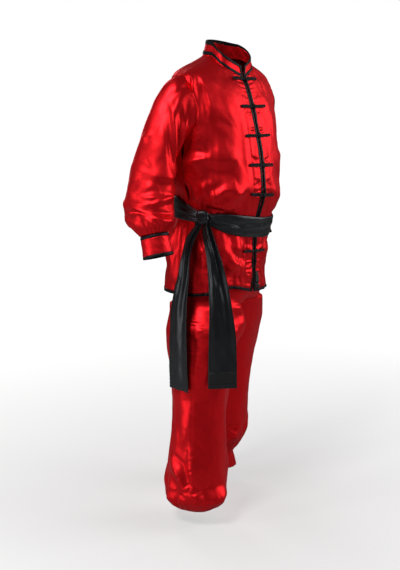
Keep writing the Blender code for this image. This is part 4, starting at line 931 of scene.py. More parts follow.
def stitches(name, line, outward, look, nodes=()):
    """A row of stitches along a line: each a small rounded bar of thread, half sunk, with a gap after it."""
    looks = bpy.context.scene.uniform_looks
    run = lengths(line[None], 1)[0]
    pitch = looks.stitch * 1.45
    count = int(run[-1] // pitch)
    radius = 0.00028
    start = (np.arange(count) + 0.2) * pitch
    share = np.array((0.0, 0.15, 0.5, 0.85, 1.0))
    girth = np.array((0.35, 0.9, 1.0, 0.9, 0.35)) * radius
    lift = np.array((-0.5, 0.3, 0.9, 0.3, -0.5)) * radius
    where = start[:, None] + share * looks.stitch
    centre = np.stack([np.interp(where, run, line[:, k]) for k in range(3)], axis=-1)
    up = unit(np.stack([np.interp(where, run, outward[:, k]) for k in range(3)], axis=-1))
    along = unit(centre[:, -1] - centre[:, 0])[:, None]
    side = unit(np.cross(up, along))
    turn = np.arange(5) * 2 * np.pi / 5
    centre = centre + up * lift[:, None]
    rings = centre[:, :, None] + side[:, :, None] * (girth[:, None] * np.cos(turn))[None, ..., None]
    rings = rings + up[:, :, None] * (girth[:, None] * np.sin(turn))[None, ..., None]
    index = np.arange(rings[..., 0].size).reshape(rings.shape[:3])
    following = np.roll(index, -1, axis=2)
    quads = np.stack((index[:, :-1], following[:, :-1], following[:, 1:], index[:, 1:]), axis=-1).reshape(-1, 4)
    faces = [tuple(q) for q in quads]
    faces += [tuple(row) for row in index[:, 0, ::-1]] + [tuple(row) for row in index[:, -1]]
    points = rings.reshape(-1, 3)
    return mesh_piece(name, points, faces, np.zeros((len(points), 2)), look, nodes)


class UNIFORM_OT_fronts(bpy.types.Operator):
    """Two satin fronts with chest, belly and skirt folds, and puckers beside the opening"""

    bl_idname = "uniform.fronts"
    bl_label = "Jacket fronts"

    def execute(self, context):
        for hand, side in (("right", -1), ("left", 1)):
            angle, height = front_angles(168, 76)
            outer = torso(side * angle, height)
            relief = jacket_relief(side * angle, height)
            relief += sunk_seams(edge_distance(outer, (-1,), (0, -1)))
            grid = jacket_point(side * angle, height, 0.0, relief)
            obj = cloth(f"front_{hand}", grid, torso_normal(side * angle, height), "Red satin", "red_satin",
                        [f"jacket_front_{hand}"])
        return {"FINISHED"}


class UNIFORM_OT_back(bpy.types.Operator):
    """The satin back, with folds from the shoulder blades to the sash"""

    bl_idname = "uniform.back"
    bl_label = "Jacket back"

    def execute(self, context):
        angle, height = back_angles(168, 116)
        outer = torso(angle, height)
        relief = jacket_relief(angle, height) + sunk_seams(edge_distance(outer, (0, -1), (0, -1)))
        grid = jacket_point(angle, height, 0.0, relief)
        obj = cloth("back", grid, torso_normal(angle, height), "Red satin", "red_satin", ["jacket_back"])
        return {"FINISHED"}


def armhole(side, points):
    """The armhole's line from the shoulder down the front to the armpit and up the back."""
    heights = np.linspace(SHOULDER_HEIGHT, ARMPIT_HEIGHT, points + 1)
    front_angle = side * (np.pi / 2 - armhole_inset(heights, ARMHOLE_FRONT))
    back_angle = np.pi / 2 + armhole_inset(heights, ARMHOLE_BACK)
    back_angle = back_angle if side > 0 else 2 * np.pi - back_angle
    front = jacket_point(front_angle, heights, -SEAM_DEPTH)
    back = jacket_point(back_angle, heights, -SEAM_DEPTH)
    return np.concatenate((front, back[::-1][1:]))


def sleeve_form(side, steps, points):
    """Rings of a sleeve without its folds: middle + outer * cos t + front * sin t, eased out of the armhole."""
    outer_x, outer_h, inner_x, inner_h, centre_y, half_depth = interpolate(SLEEVE, steps)
    swing = np.clip(steps / 8, 0, 1) if side > 0 else 0 * steps
    swing = swing**2 * (3 - 2 * swing)
    centre_y = centre_y + LEFT_SLEEVE_BACK * swing
    outer_x, inner_x = outer_x - LEFT_SLEEVE_IN * swing, inner_x - LEFT_SLEEVE_IN * swing**3 * 0.5
    turn = np.linspace(0, 2 * np.pi, 2 * points + 1)
    outer = np.stack((side * outer_x, centre_y, outer_h - NECK_HEIGHT), axis=-1)[:, None]
    inner = np.stack((side * inner_x, centre_y, inner_h - NECK_HEIGHT), axis=-1)[:, None]
    tilt = -CUFF_END[1] / CUFF_DROP * np.clip((steps - 8) / 4, 0, 1)
    front = np.stack((0 * steps, -half_depth, tilt * half_depth), axis=-1)[:, None]
    middle = (outer + inner) / 2
    rings = middle + (outer - middle) * np.cos(turn)[:, None] + front * np.sin(turn)[:, None]
    start = interpolate(SLEEVE, 0.0)
    base = np.array((side * (start[0] + start[2]) / 2, start[4], (start[1] + start[3]) / 2 - NECK_HEIGHT))
    top = np.array((side * start[0], start[4], start[1] - NECK_HEIGHT))
    first = base + (top - base) * np.cos(turn)[:, None] + np.array((0, -start[5], 0)) * np.sin(turn)[:, None]
    fade = np.clip(1 - steps / 4.0, 0, 1)
    rings = rings + (armhole(side, points) - first) * (fade**2 * (3 - 2 * fade))[:, None, None]
    rings[:, -1] = rings[:, 0]
    return rings, turn


def outward_of_tube(rings):
    """Unit normals of closed rings, turned away from each ring's middle."""
    normals = normals_of(rings, True)
    middle = rings[:, :-1].mean(axis=1, keepdims=True)
    return normals * np.sign(((rings - middle) * normals).sum())


def sleeve_grid(side, rows=150, points=60):
    """A sleeve with its folds, elbow creases and the gathers that the cuff takes in."""
    looks = bpy.context.scene.uniform_looks
    reach_table = np.array(SLEEVE_REACH)
    reach = np.linspace(0, reach_table[-1, 1], rows + 1)
    steps = np.interp(reach, reach_table[:, 1], reach_table[:, 0])
    rings, turn = sleeve_form(side, steps, points)
    degrees = np.degrees(turn)
    degrees = np.where(degrees > 180, degrees - 360, degrees)[None, :]
    along = reach[:, None]
    relief = np.zeros(rings.shape[:2])
    for slide in (-360, 0, 360):
        relief += fold_relief(SLEEVE_FOLDS, degrees + slide, along, (0.00118, 1.0), SLEEVE_BREADTH)
    wheel_x, wheel_y = 0.068 * np.cos(turn)[None, :], 0.068 * np.sin(turn)[None, :]
    seed = 31 if side < 0 else 41
    relief += 0.0011 * ripple(wheel_x + along * 0.5, wheel_y, 0.09, seed) + 0.00015 * ripple(wheel_x, along, 0.034, seed + 1)
    uneven = 1.6 * ripple(wheel_x, wheel_y, 0.06, seed + 2) * (0.6 + 2.2 * (reach[-1] - along))
    gathers = np.sin(26 * turn[None, :] + uneven) + 0.45 * np.sin(41 * turn[None, :] + 1.7 * uneven)
    cuff_share = np.exp(-(((reach[-1] - along - 0.014) / 0.026) ** 2))
    relief += 0.0023 * gathers * cuff_share * (0.75 + 0.25 * ripple(wheel_x, wheel_y, 0.08, seed + 3))
    relief = relief * smooth(along, 0.0, 0.035) + 0 * relief
    relief += looks.pucker * 0.8 * seam_puckers(0.09 * turn[None, :], along, 0.014, 0.016, seed + 4)
    relief[:, -1] = relief[:, 0]
    relief *= smooth(along, -0.004, 0.006)
    relief += 0.0012 * smooth(along, 0, 0.006)
    return rings + outward_of_tube(rings) * relief[..., None]


class UNIFORM_OT_sleeves(bpy.types.Operator):
    """Two full sleeves, creased at the elbow and gathered into the cuffs"""

    bl_idname = "uniform.sleeves"
    bl_label = "Sleeves"

    def execute(self, context):
        for hand, side in (("right", -1), ("left", 1)):
            grid = sleeve_grid(side)
            obj = cloth(f"sleeve_shell_{hand}", grid, outward_of_tube(grid), "Red satin", "red_satin",
                        [f"sleeve_{hand}"], closed=True)
        return {"FINISHED"}


def cuff_ring(side, drop, out, turn):
    """A ring of the cuff this far along the arm from the sleeve's end, an ellipse that widens a little."""
    end, _ = sleeve_form(side, np.array((11.0, 12.0)), 9)
    centre = end[1, :-1].mean(axis=0)
    along = unit(np.array((side * CUFF_END[0], CUFF_END[1], -CUFF_DROP)))
    outside = unit(np.cross(np.array((0.0, 1.0, 0.0)), along)) * -side
    front = np.cross(along, outside)
    flare = CUFF_FLARE * drop / CUFF_LENGTH
    ring = outside * (np.cos(turn) * (0.0400 + flare + out))[:, None]
    return centre + along * drop + ring + front * (np.sin(turn) * (0.0425 + flare + out))[:, None]


def cuff_grid(side, low, high, out, rows, columns, bulge, wave, seed):
    """A band round the wrist: raised by bulge * sqrt(1 - (2q - 1)^2) between its edges, with small waves."""
    turn = np.linspace(0, 2 * np.pi, columns + 1)
    q = np.linspace(0, 1, rows + 1)
    raised = bulge * np.sqrt(np.clip(1 - (2 * q - 1) ** 2, 0, 1))
    x, y = 0.042 * np.cos(turn), 0.042 * np.sin(turn)
    grid = []
    for share, lift in zip(q, raised):
        along = low + (high - low) * share
        waves = wave * ripple(x + 0.3 * along, y + along, 0.024, seed) if wave else 0 * x
        waves = waves + wave * 0.8 * np.sin(36 * turn + 2 * ripple(x, y, 0.05, seed + 1)) * (1 - 2 * min(share, 0.5))
        waves[-1] = waves[0]
        grid.append(cuff_ring(side, along, out + lift + waves, turn))
    return np.stack(grid)


class UNIFORM_OT_cuffs(bpy.types.Operator):
    """Cuffs with a rolled black band above and a black binding at the wrist"""

    bl_idname = "uniform.cuffs"
    bl_label = "Cuffs"

    def execute(self, context):
        first = 0.0022
        for hand, side in (("right", -1), ("left", 1)):
            top = first + CUFF_TRIM
            end = top + CUFF_LENGTH
            layout = (
                (f"cuff_shell_{hand}", top - 0.001, end + 0.001, 0.0010, 22, 0.0004, 0.00045, "Red satin", "red_satin",
                 f"cuff_{hand}", 0.0009),
                (f"cuff_roll_{hand}", first, top, 0.0014, 8, 0.0010, 0.0002, "Binding satin", "black_binding",
                 f"cuff_band_{hand}", 0.0014),
                (f"wrist_roll_{hand}", end, end + CUFF_TRIM, 0.0012, 8, 0.0010, 0.0002, "Binding satin",
                 "black_binding", f"cuff_binding_{hand}", 0.0024),
            )
            for name, low, high, out, rows, bulge, wave, look, slot, node, shell in layout:
                grid = cuff_grid(side, low, high, out, rows, 96, bulge, wave, 50 + rows)
                obj = cloth(name, grid, outward_of_tube(grid), look, slot, [node], shell, True)
        return {"FINISHED"}


def neck_line(angle):
    """Heights of the neckline: a deep curve to the front pit and a shallow one to the back of the neck."""
    first = edge_angle(np.array(NECK_PIT_HEIGHT), EDGE_GAP + EDGE_TRIM)
    turned = np.arccos(np.clip(np.cos(angle), 0, 1))
    share = np.clip((turned - first) / (np.pi / 2 - first), 0, 1)
    front = NECK_PIT_HEIGHT + (NECK_POINT_HEIGHT - NECK_PIT_HEIGHT) * np.sin(np.pi / 2 * share) ** 0.9
    back = (NECK_BACK_HEIGHT - NECK_POINT_HEIGHT) * np.clip(-np.cos(angle), 0, 1) ** 0.9
    return front + back


def collar_point(angle, rise, out=0.0):
    """A point of the stand collar: up from the neckline by rise, leaning in and, at the back, forward."""
    base = torso(angle, neck_line(angle))
    spoke = (base - np.array((0.0, -0.004, 0.0))) * (1, 1, 0)
    rise = rise * (1 + COLLAR_RISE / COLLAR_HEIGHT * np.clip(0.5 - 0.5 * np.cos(angle), 0, 1))
    back = np.clip(0.3 - 0.7 * np.cos(angle), 0, 1)
    top = unit(spoke) * (out - COLLAR_LEAN * rise)[..., None]
    return base + top + np.stack((0 * rise, -COLLAR_FORWARD * back * rise, rise), axis=-1)


def collar_grid(low, high, out, rows, columns, bulge, wave, seed):
    """A band of the collar from its right front edge round the back to its left one, raised between its edges."""
    first = edge_angle(np.array(NECK_PIT_HEIGHT), EDGE_GAP + EDGE_TRIM + 0.0002)
    angle = (first + (2 * np.pi - 2 * first) * np.linspace(0, 1, columns + 1))[None, :] + np.zeros((rows + 1, 1))
    q = np.linspace(0, 1, rows + 1)[:, None]
    rise = low + (high - low) * q + 0 * angle
    lift = bulge * np.sqrt(np.clip(1 - (2 * q - 1) ** 2, 0, 1)) + 0 * angle
    run = 0.075 * angle
    if wave:
        lift = lift + wave * ripple(run, rise, 0.030, seed)
        lift = lift + wave * 1.1 * seam_puckers(run, rise - low, 0.010, 0.012, seed + 1)
        lift = lift + wave * 1.1 * seam_puckers(run, high - rise, 0.010, 0.013, seed + 3)
    return collar_point(angle, rise, out + lift)


class UNIFORM_OT_collar(bpy.types.Operator):
    """The stand collar, its rolled upper binding and the black band over its seam"""

    bl_idname = "uniform.collar"
    bl_label = "Stand collar"

    def execute(self, context):
        body_top = COLLAR_HEIGHT - COLLAR_TRIM
        layout = (
            ("collar_shell", -0.0060, body_top + 0.002, 0.0, 18, 0.0003, 0.0005, 0.0014, "Red satin", "red_satin", "collar"),
            ("collar_roll", body_top, COLLAR_HEIGHT, 0.0006, 8, 0.0010, 0.0001, 0.0030, "Binding satin", "black_binding",
             "collar_binding"),
            ("neck_roll", 0.0015, 0.0115, 0.0012, 8, 0.0011, 0.0001, 0.0009, "Binding satin", "black_binding", "neck_band"),
        )
        for name, low, high, out, rows, bulge, wave, shell, look, slot, node in layout:
            grid = collar_grid(low, high, out, rows, 150, bulge, wave, 60 + rows)
            middle = np.array((0.0, 0.0, grid[..., 2].mean()))
            obj = cloth(name, grid, grid - middle, look, slot, [node], shell)
        return {"FINISHED"}


def edge_line(side, offset, out, rows=200):
    """A line up a front edge at this distance from the middle, over the hem binding and up the collar's front."""
    heights = np.linspace(HEM_HEIGHT - HEM_TRIM, NECK_PIT_HEIGHT, rows)
    angle = side * edge_angle(heights, np.full(rows, offset))
    relief = jacket_relief(angle, np.maximum(heights, HEM_HEIGHT))
    line = jacket_point(angle, heights, out, relief)
    rise = np.linspace(0.004, COLLAR_HEIGHT, 14)
    spread = 0.008 * (rise / COLLAR_HEIGHT) ** 1.3 * (1 if offset < EDGE_TRIM else 0)
    corner = side * edge_angle(np.full(14, NECK_PIT_HEIGHT), np.full(14, offset))
    up = collar_point(corner, rise, out + 0 * rise)
    up[:, 0] += side * spread
    return np.concatenate((line, up)), np.concatenate((torso_normal(angle, heights), torso_normal(corner, 0 * corner + NECK_PIT_HEIGHT)))


class UNIFORM_OT_edges(bpy.types.Operator):
    """The black bindings of both front edges and the red underlap between them"""

    bl_idname = "uniform.edges"
    bl_label = "Front edges"

    def execute(self, context):
        for hand, side in (("right", -1), ("left", 1)):
            columns = np.linspace(0, 1, 9)
            bulge = 0.0011 * np.sqrt(np.clip(1 - (2 * columns - 1) ** 2, 0, 1))
            lines = [edge_line(side, EDGE_GAP + EDGE_TRIM * q, 0.0002 + b) for q, b in zip(columns, bulge)]
            grid = np.stack([line for line, _ in lines], axis=1)
            normal = np.stack([n for _, n in lines], axis=1)
            obj = cloth(f"edge_roll_{hand}", grid, normal, "Binding satin", "black_binding", [f"edge_binding_{hand}"],
                        0.0022)
        rows = 190
        heights = np.linspace(HEM_HEIGHT, NECK_PIT_HEIGHT - 0.003, rows)[:, None]
        offsets = np.linspace(-0.014, 0.014, 15)[None, :]
        angle = np.sign(offsets) * edge_angle(heights + 0 * offsets, np.abs(offsets) + 0 * heights)
        waves = 0.0004 * ripple(offsets + 0 * heights, heights + 0 * offsets, 0.03, 71)
        grid = jacket_point(angle, heights + 0 * offsets, -0.0032 + waves)
        obj = cloth("underlap", grid, torso_normal(angle, heights + 0 * offsets), "Red satin", "red_satin",
                    ["front_underlap"], 0.0012)
        return {"FINISHED"}


class UNIFORM_OT_hem(bpy.types.Operator):
    """The black binding along the jacket's lower edge, one length under each panel"""

    bl_idname = "uniform.hem"
    bl_label = "Hem bindings"

    def execute(self, context):
        front_angle, _ = front_angles(168, 76, EDGE_GAP + EDGE_TRIM)
        back_angle, _ = back_angles(168, 116)
        layout = (("right", -front_angle[0]), ("left", front_angle[0]), ("back", back_angle[0]))
        for place, angle in layout:
            q = np.linspace(0, 1, 9)[:, None]
            angle = angle[None, :] + 0 * q
            heights = HEM_HEIGHT + 0.0008 - (HEM_TRIM + 0.0008) * q + 0 * angle
            bulge = 0.0011 * np.sqrt(np.clip(1 - (2 * q - 1) ** 2, 0, 1))
            relief = jacket_relief(angle, HEM_HEIGHT + 0 * angle)
            grid = jacket_point(angle, heights, 0.0003 + bulge + 0 * angle, relief)
            obj = cloth(f"hem_roll_{place}", grid, torso_normal(angle, heights), "Binding satin", "black_binding",
                        [f"hem_binding_{place}"], 0.0022)
        return {"FINISHED"}


def frog_heights():
    """Heights of the frogs: equal steps along the front edge, from just under the collar down."""
    heights = np.linspace(NECK_PIT_HEIGHT, HEM_HEIGHT, 400)
    edge = torso(np.zeros(400), heights)
    length = np.concatenate(([0], np.cumsum(np.linalg.norm(np.diff(edge, axis=0), axis=1))))
    return np.interp(0.006 + FROG_SPACING * np.arange(7), length, heights)


def on_front(offset, height, out):
    """Points of the front at these distances from the middle, and their outward and upward unit vectors."""
    angle = np.sign(offset) * edge_angle(height, np.abs(offset))
    normal = torso_normal(angle, height)
    up = unit(torso(angle, height + 0.001) - torso(angle, height))
    return torso(angle, height) + normal * out[..., None], normal, up


class UNIFORM_OT_frogs(bpy.types.Operator):
    """Frog fastenings: a doubled cord on each side, a ball knot on the right and its loop on the left"""

    bl_idname = "uniform.frogs"
    bl_label = "Frog fastenings"

    def execute(self, context):
        for number, height in enumerate(frog_heights(), start=1):
            if number == 6:
                continue
            for part, side in (("knot", -1), ("loop", 1)):
                self.cord(number, height, part, side)
            self.ball(number, height)
        return {"FINISHED"}

    def cord(self, number, height, part, side):
        """One cord doubled back on itself: out along the lower strand, round its end and back along the upper one."""
        near = 0.0035 if part == "knot" else 0.0015
        gap = 0.0024
        out = np.linspace(near, FROG_LENGTH - gap, 26)
        turn = np.linspace(-np.pi / 2, np.pi / 2, 9)[1:-1]
        offset = np.concatenate((out, FROG_LENGTH - gap + gap * np.cos(turn), out[::-1]))
        level = np.concatenate((0 * out - gap, gap * np.sin(turn), 0 * out + gap))
        if part == "loop":
            swell = 0.0036 * np.exp(-(((np.abs(offset) - 0.0045) / 0.0042) ** 2))
            level = level + np.sign(level) * swell
        heights = height + level
        base = CORD_RADIUS * 0.72 + 0.0021 + 0.0004 * np.sin(offset * 700 + number)
        relief = jacket_relief(side * edge_angle(heights, np.abs(offset)), heights)
        path, normal, _ = on_front(side * offset, heights, base + 0.8 * relief)
        along = unit(np.gradient(path, axis=0))
        across = unit(np.cross(normal, along))
        girth = np.full(len(path), CORD_RADIUS) * (1 + 0.05 * np.sin(np.arange(len(path)) * 2.1))
        grid = capped(tube_mesh(path, across, normal, girth, girth * 0.8, 10))
        cloth(f"frog_cord_{number}_{part}", grid, outward_of_tube(grid), "Corded braid", "black_braid",
              [f"frog_{number}_{part}"], 0, True)

    def ball(self, number, height):
        """The ball knot in the middle: a squashed ball whose three turns of cord bulge across it."""
        climb = np.linspace(0.02, np.pi - 0.02, 29)[:, None]
        turn = np.linspace(0, 2 * np.pi, 37)[None, :]
        turns = 0.16 * np.abs(np.sin(1.5 * climb + 1.5 * turn)) ** 0.6 + 0.06 * np.abs(np.sin(3 * turn - 2 * climb))
        radius = KNOT_RADIUS * (0.86 + turns)
        centre, normal, up = on_front(np.array(0.0), np.array(height), np.array(0.0052))
        side = np.cross(up, normal)
        grid = centre + (radius * np.sin(climb) * np.cos(turn))[..., None] * side
        grid = grid + (radius * np.cos(climb) * 0.95)[..., None] * up
        grid = grid + (radius * np.sin(climb) * np.sin(turn) * 0.72)[..., None] * normal
        grid[:, -1] = grid[:, 0]
        cloth(f"frog_ball_{number}", grid, grid - centre, "Corded braid", "black_braid", (), 0, True)


def trouser_frame(heights):
    """Middle line of the trousers and the unit vectors to the wearer's left and back, at these heights."""
    centre_x, centre_y, turn, spread = interpolate(TROUSER_MIDDLE, heights)
    turn = np.radians(turn)
    middle = np.stack((centre_x, centre_y, heights - NECK_HEIGHT), axis=-1)
    left = np.stack((np.cos(turn), np.sin(turn), 0 * turn), axis=-1)
    back = np.stack((-np.sin(turn), np.cos(turn), 0 * turn), axis=-1)
    return middle, left, back, spread


def leg_grid(side, rows=190, columns=132):
    """A leg: spread - half width * cos t across and half depth * sin t forward, easing into the hips above."""
    looks = bpy.context.scene.uniform_looks
    sections, folds = (LEFT_LEG, LEFT_LEG_FOLDS) if side > 0 else (RIGHT_LEG, RIGHT_LEG_FOLDS)
    bottom = sections[0][0]
    above = np.linspace(TROUSER_TOP, CROTCH_HEIGHT, rows // 4 + 1)[:-1]
    heights = np.concatenate((above, np.linspace(CROTCH_HEIGHT, bottom, rows - rows // 4)))
    half_width, half_depth, gather = interpolate(sections, np.minimum(heights, CROTCH_HEIGHT))
    middle, left, back, spread = trouser_frame(heights)
    share = np.linspace(0, 1, columns + 1)
    turn = 2 * np.pi * share
    level = heights[:, None]
    degrees = np.degrees(turn)[None, :]
    relief = np.zeros((len(heights), columns + 1))
    for slide in (-360, 0, 360):
        relief += fold_relief(folds, degrees + slide, level, (0.00165, 1.0), LEG_BREADTH)
    wheel_x, wheel_y = 0.095 * np.cos(turn)[None, :], 0.095 * np.sin(turn)[None, :]
    seed = 91 if side < 0 else 111
    relief += 0.0013 * ripple(wheel_x + 0.5 * level, wheel_y, 0.12, seed)
    apart = 0.35 + 0.65 * smooth(np.abs((degrees - 165 if side < 0 else degrees - 15) + 180) % 360 - 180, 60, 110)
    loose = drapes(0.09 * turn[None, :], level, 0.040, 0.26, seed + 9) * np.sin(turn / 2)[None, :] ** 0.5
    relief += 0.0022 * apart * loose
    relief += 0.0002 * ripple(wheel_x, wheel_y + level, 0.045, seed + 1)
    from_seam = 0.095 * np.abs((degrees - 180) * np.pi / 180)
    strength = 1.1 + 0.9 * ripple(level, 0 * level, 0.16, seed + 2)
    relief += 1.05 * looks.pucker * np.clip(strength, 0.2, 2.2) * seam_puckers(level, from_seam, 0.024, 0.0175, seed + 3)
    relief += sunk_seams(from_seam)
    inner_seam = 0.095 * np.minimum(turn, 2 * np.pi - turn)[None, :]
    relief += 0.7 * looks.pucker * seam_puckers(level, inner_seam, 0.012, 0.014, seed + 5)
    uneven = 1.5 * ripple(wheel_x, wheel_y, 0.07, seed + 6)
    pleats = np.sin(24 * turn[None, :] + uneven) + 0.5 * np.sin(41 * turn[None, :] + 1.6 * uneven)
    relief += 0.45 * gather[:, None] * pleats * (0.75 + 0.25 * ripple(wheel_x, wheel_y, 0.1, seed + 7))
    relief *= smooth(CROTCH_HEIGHT + 0.05 - level, 0.0, 0.06)
    across = spread[:, None] - (half_width[:, None] + relief) * np.cos(turn)
    depth = -(half_depth[:, None] + relief) * np.sin(turn)
    hip_width, hip_front, hip_back = interpolate(JACKET, heights)[:3]
    arc = np.pi * share
    hip_across = (hip_width - WAIST_CLEAR)[:, None] * np.sin(arc)
    hip_depth = np.where(np.cos(arc) > 0, (hip_front - WAIST_CLEAR)[:, None], (hip_back - WAIST_CLEAR)[:, None])
    hip_depth = -hip_depth * np.cos(arc)
    lift = smooth(level, SPREAD_HEIGHT, HIP_HEIGHT)
    lift = lift * np.where(level > CROTCH_HEIGHT, 1.0, np.sin(turn / 2) ** 2)
    across = across * (1 - lift) + hip_across * lift
    depth = depth * (1 - lift) + hip_depth * lift
    across = np.maximum(across, 0.00015)
    seam = heights >= CROTCH_HEIGHT
    across[:, [0, -1]] = np.where(seam[:, None], 0.00015, across[:, [0, -1]])
    below = heights <= CROTCH_HEIGHT
    depth[below, -1] = depth[below, 0]
    grid = middle[:, None] + left[:, None] * (side * across)[..., None] + back[:, None] * depth[..., None]
    return grid, heights


class UNIFORM_OT_trousers(bpy.types.Operator):
    """Two loose legs with puckered outer seams and elastic ankles, and the waistband under the jacket"""

    bl_idname = "uniform.trousers"
    bl_label = "Trousers"

    def execute(self, context):
        for hand, side in (("right", -1), ("left", 1)):
            grid, heights = leg_grid(side)
            middle, left, _, spread = trouser_frame(heights)
            centre = middle + left * (side * spread * 0.8)[:, None]
            obj = cloth(f"leg_{hand}", grid, grid - centre[:, None], "Red satin", "red_satin",
                        [f"trouser_leg_{hand}"])
        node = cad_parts["trouser_waistband"]
        node.data.materials.clear()
        node.data.materials.append(material("Plain red satin"))
        return {"FINISHED"}


def sash_point(angle, drop, out):
    """A point of the sash's band: the jacket's form at the waist, moved out."""
    return torso(angle, BELT_HEIGHT - drop) + torso_normal(angle, BELT_HEIGHT - 0.2 * drop) * out[..., None]


class UNIFORM_OT_sash_band(bpy.types.Operator):
    """The sash round the waist, folded lengthwise and drawn together at the knot"""

    bl_idname = "uniform.sash_band"
    bl_label = "Sash band"

    def execute(self, context):
        columns, rows = 320, 44
        angle = np.linspace(0, 2 * np.pi, columns + 1)[None, :] + np.zeros((rows + 1, 1))
        q = np.linspace(-0.5, 0.5, rows + 1)[:, None]
        away = (np.degrees(angle) - 360 - math.degrees(KNOT_ANGLE) + 180) % 360 - 180
        near = np.exp(-((away / 24) ** 2))
        drawn = 1 - 0.45 * near
        x = 0.165 * angle
        wander = 0.10 * np.sin(2 * angle + 0.7) + 0.07 * np.sin(3 * angle)
        level = q + wander * (1 - near) + 0.02 * ripple(x, q * 0.07, 0.14, 201)
        fold = np.zeros_like(level)
        for place, width, rise in ((-0.34, 0.15, 0.0020), (0.00, 0.19, 0.0036), (0.33, 0.14, 0.0020)):
            edge = (level - place) / width
            fold += rise * np.exp(-(edge**2)) - 0.6 * rise * np.exp(-((edge - 1.5) ** 2))
        fold *= 0.8 + 0.5 * near
        fold += 0.0009 * ripple(x * 0.6, q * 0.068, 0.040, 202) + 0.0011 * near * np.sin(q * 46 + 0.9)
        roll = 1 - np.abs(2 * q) ** 8
        out = SASH_STANDOFF - 0.0006 + 0.0034 * roll + fold * roll
        out = np.maximum(out, SASH_STANDOFF - 0.0006)
        grid = sash_point(angle, q * SASH_WRAP_HEIGHT * drawn, out)
        grid[:, -1] = grid[:, 0]
        obj = cloth("sash_band", grid, torso_normal(angle, BELT_HEIGHT + 0 * angle), "Black satin", "black_satin",
                    ["sash_wrap"], closed=True)
        return {"FINISHED"}


class UNIFORM_OT_sash_knot(bpy.types.Operator):
    """The knot over the right hip: a creased turn of satin over the crossing of the sash"""

    bl_idname = "uniform.sash_knot"
    bl_label = "Sash knot"

    def execute(self, context):
        angle, height = np.array(KNOT_ANGLE), np.array(KNOT_HEIGHT)
        outward = torso_normal(angle, height)
        middle = torso(angle, height) + outward * (KNOT_STANDOFF - 0.0045)
        across = unit(np.cross(outward, np.array((0.0, 0.0, 1.0))))
        up = np.cross(across, outward)
        climb = np.linspace(0.02, np.pi - 0.02, 141)[:, None]
        turn = np.linspace(0, 2 * np.pi, 201)[None, :]
        swell = np.sin(climb) ** 0.62
        u, v = swell * np.cos(turn), np.cos(climb) + 0 * turn
        wrap = u - 0.22 * v + 0.10 * np.sin(2.2 * v)
        over = 1 - smooth(np.abs(wrap), 0.40, 0.56)
        lengthwise = 0.5 + 0.5 * np.cos(wrap * 13 + 0.8 * np.sin(2 * v))
        ray = np.arctan2(v + 0.15, np.abs(u) + 0.25)
        bundle = np.abs(np.sin(3.6 * ray + 0.7 * np.sign(u))) ** 0.8
        soft = ripple(u * 0.026, v * 0.026 + np.sin(turn) * 0.02, 0.03, 211)
        relief = 0.84 + over * (0.15 + 0.05 * lengthwise) + (1 - over) * 0.11 * bundle + 0.03 * soft
        grid = middle + (0.0225 * relief * u)[..., None] * across
        grid = grid + (0.0138 * relief * swell * np.sin(turn))[..., None] * outward
        grid = grid + (0.0225 * (0.88 + 0.12 * relief) * v)[..., None] * up
        grid[:, -1] = grid[:, 0]
        cloth("knot_of_sash", grid, grid - middle, "Black satin", "black_satin", ["sash_knot"], 0, True)
        return {"FINISHED"}


def tail_grid(table, seed, rows=170, columns=44, tuck=0.0):
    """A tail of the sash: a strip that hangs down its table's line, creased above and nearly flat below."""
    drops = np.linspace(table[0][0] - 0.017, table[-1][0], rows + 1)
    x, y, width, fold, facing = interpolate(table, np.maximum(drops, table[0][0]))
    facing = np.radians(facing)
    centre = np.stack((x, y, KNOT_HEIGHT - NECK_HEIGHT - drops), axis=-1)
    outward = np.stack((np.sin(facing), -np.cos(facing), 0 * facing), axis=-1)
    across = np.stack((np.cos(facing), np.sin(facing), 0 * facing), axis=-1)
    u = np.linspace(-0.5, 0.5, columns + 1)[None, :]
    down = drops[:, None]
    drift = 0.5 * ripple(0 * u, down, 0.22, seed)
    waves = 0.75 * np.cos(2.6 * np.pi * u + 0.9 + drift) + 0.35 * np.cos(5.3 * np.pi * u - 0.8 - 1.4 * drift)
    lap = smooth(u - 0.10 - 0.05 * drift, -0.02, 0.03) - 0.5
    upper = smooth(0.26 - down, 0.0, 0.22)
    rise = fold[:, None] * (waves + 0.55 * lap * upper)
    rise = rise + 0.0007 * ripple(u * 0.09, down * 0.45, 0.035, seed + 1)
    rise = rise + 0.0020 * np.exp(-(((u + 0.16) / 0.14) ** 2)) * upper
    rise = rise + 0.0005 * seam_puckers(down, (0.5 - np.abs(u)) * 0.09, 0.008, 0.012, seed + 3)
    rise = rise + 0.0004 * seam_puckers(u * 0.09, table[-1][0] - down, 0.010, 0.013, seed + 5)
    rise = rise + tuck * np.exp(-(((down - table[0][0]) / 0.03) ** 2))
    grid = centre[:, None] + across[:, None] * (width[:, None] * u)[..., None] + outward[:, None] * rise[..., None]
    return grid, outward[:, None] + 0 * grid


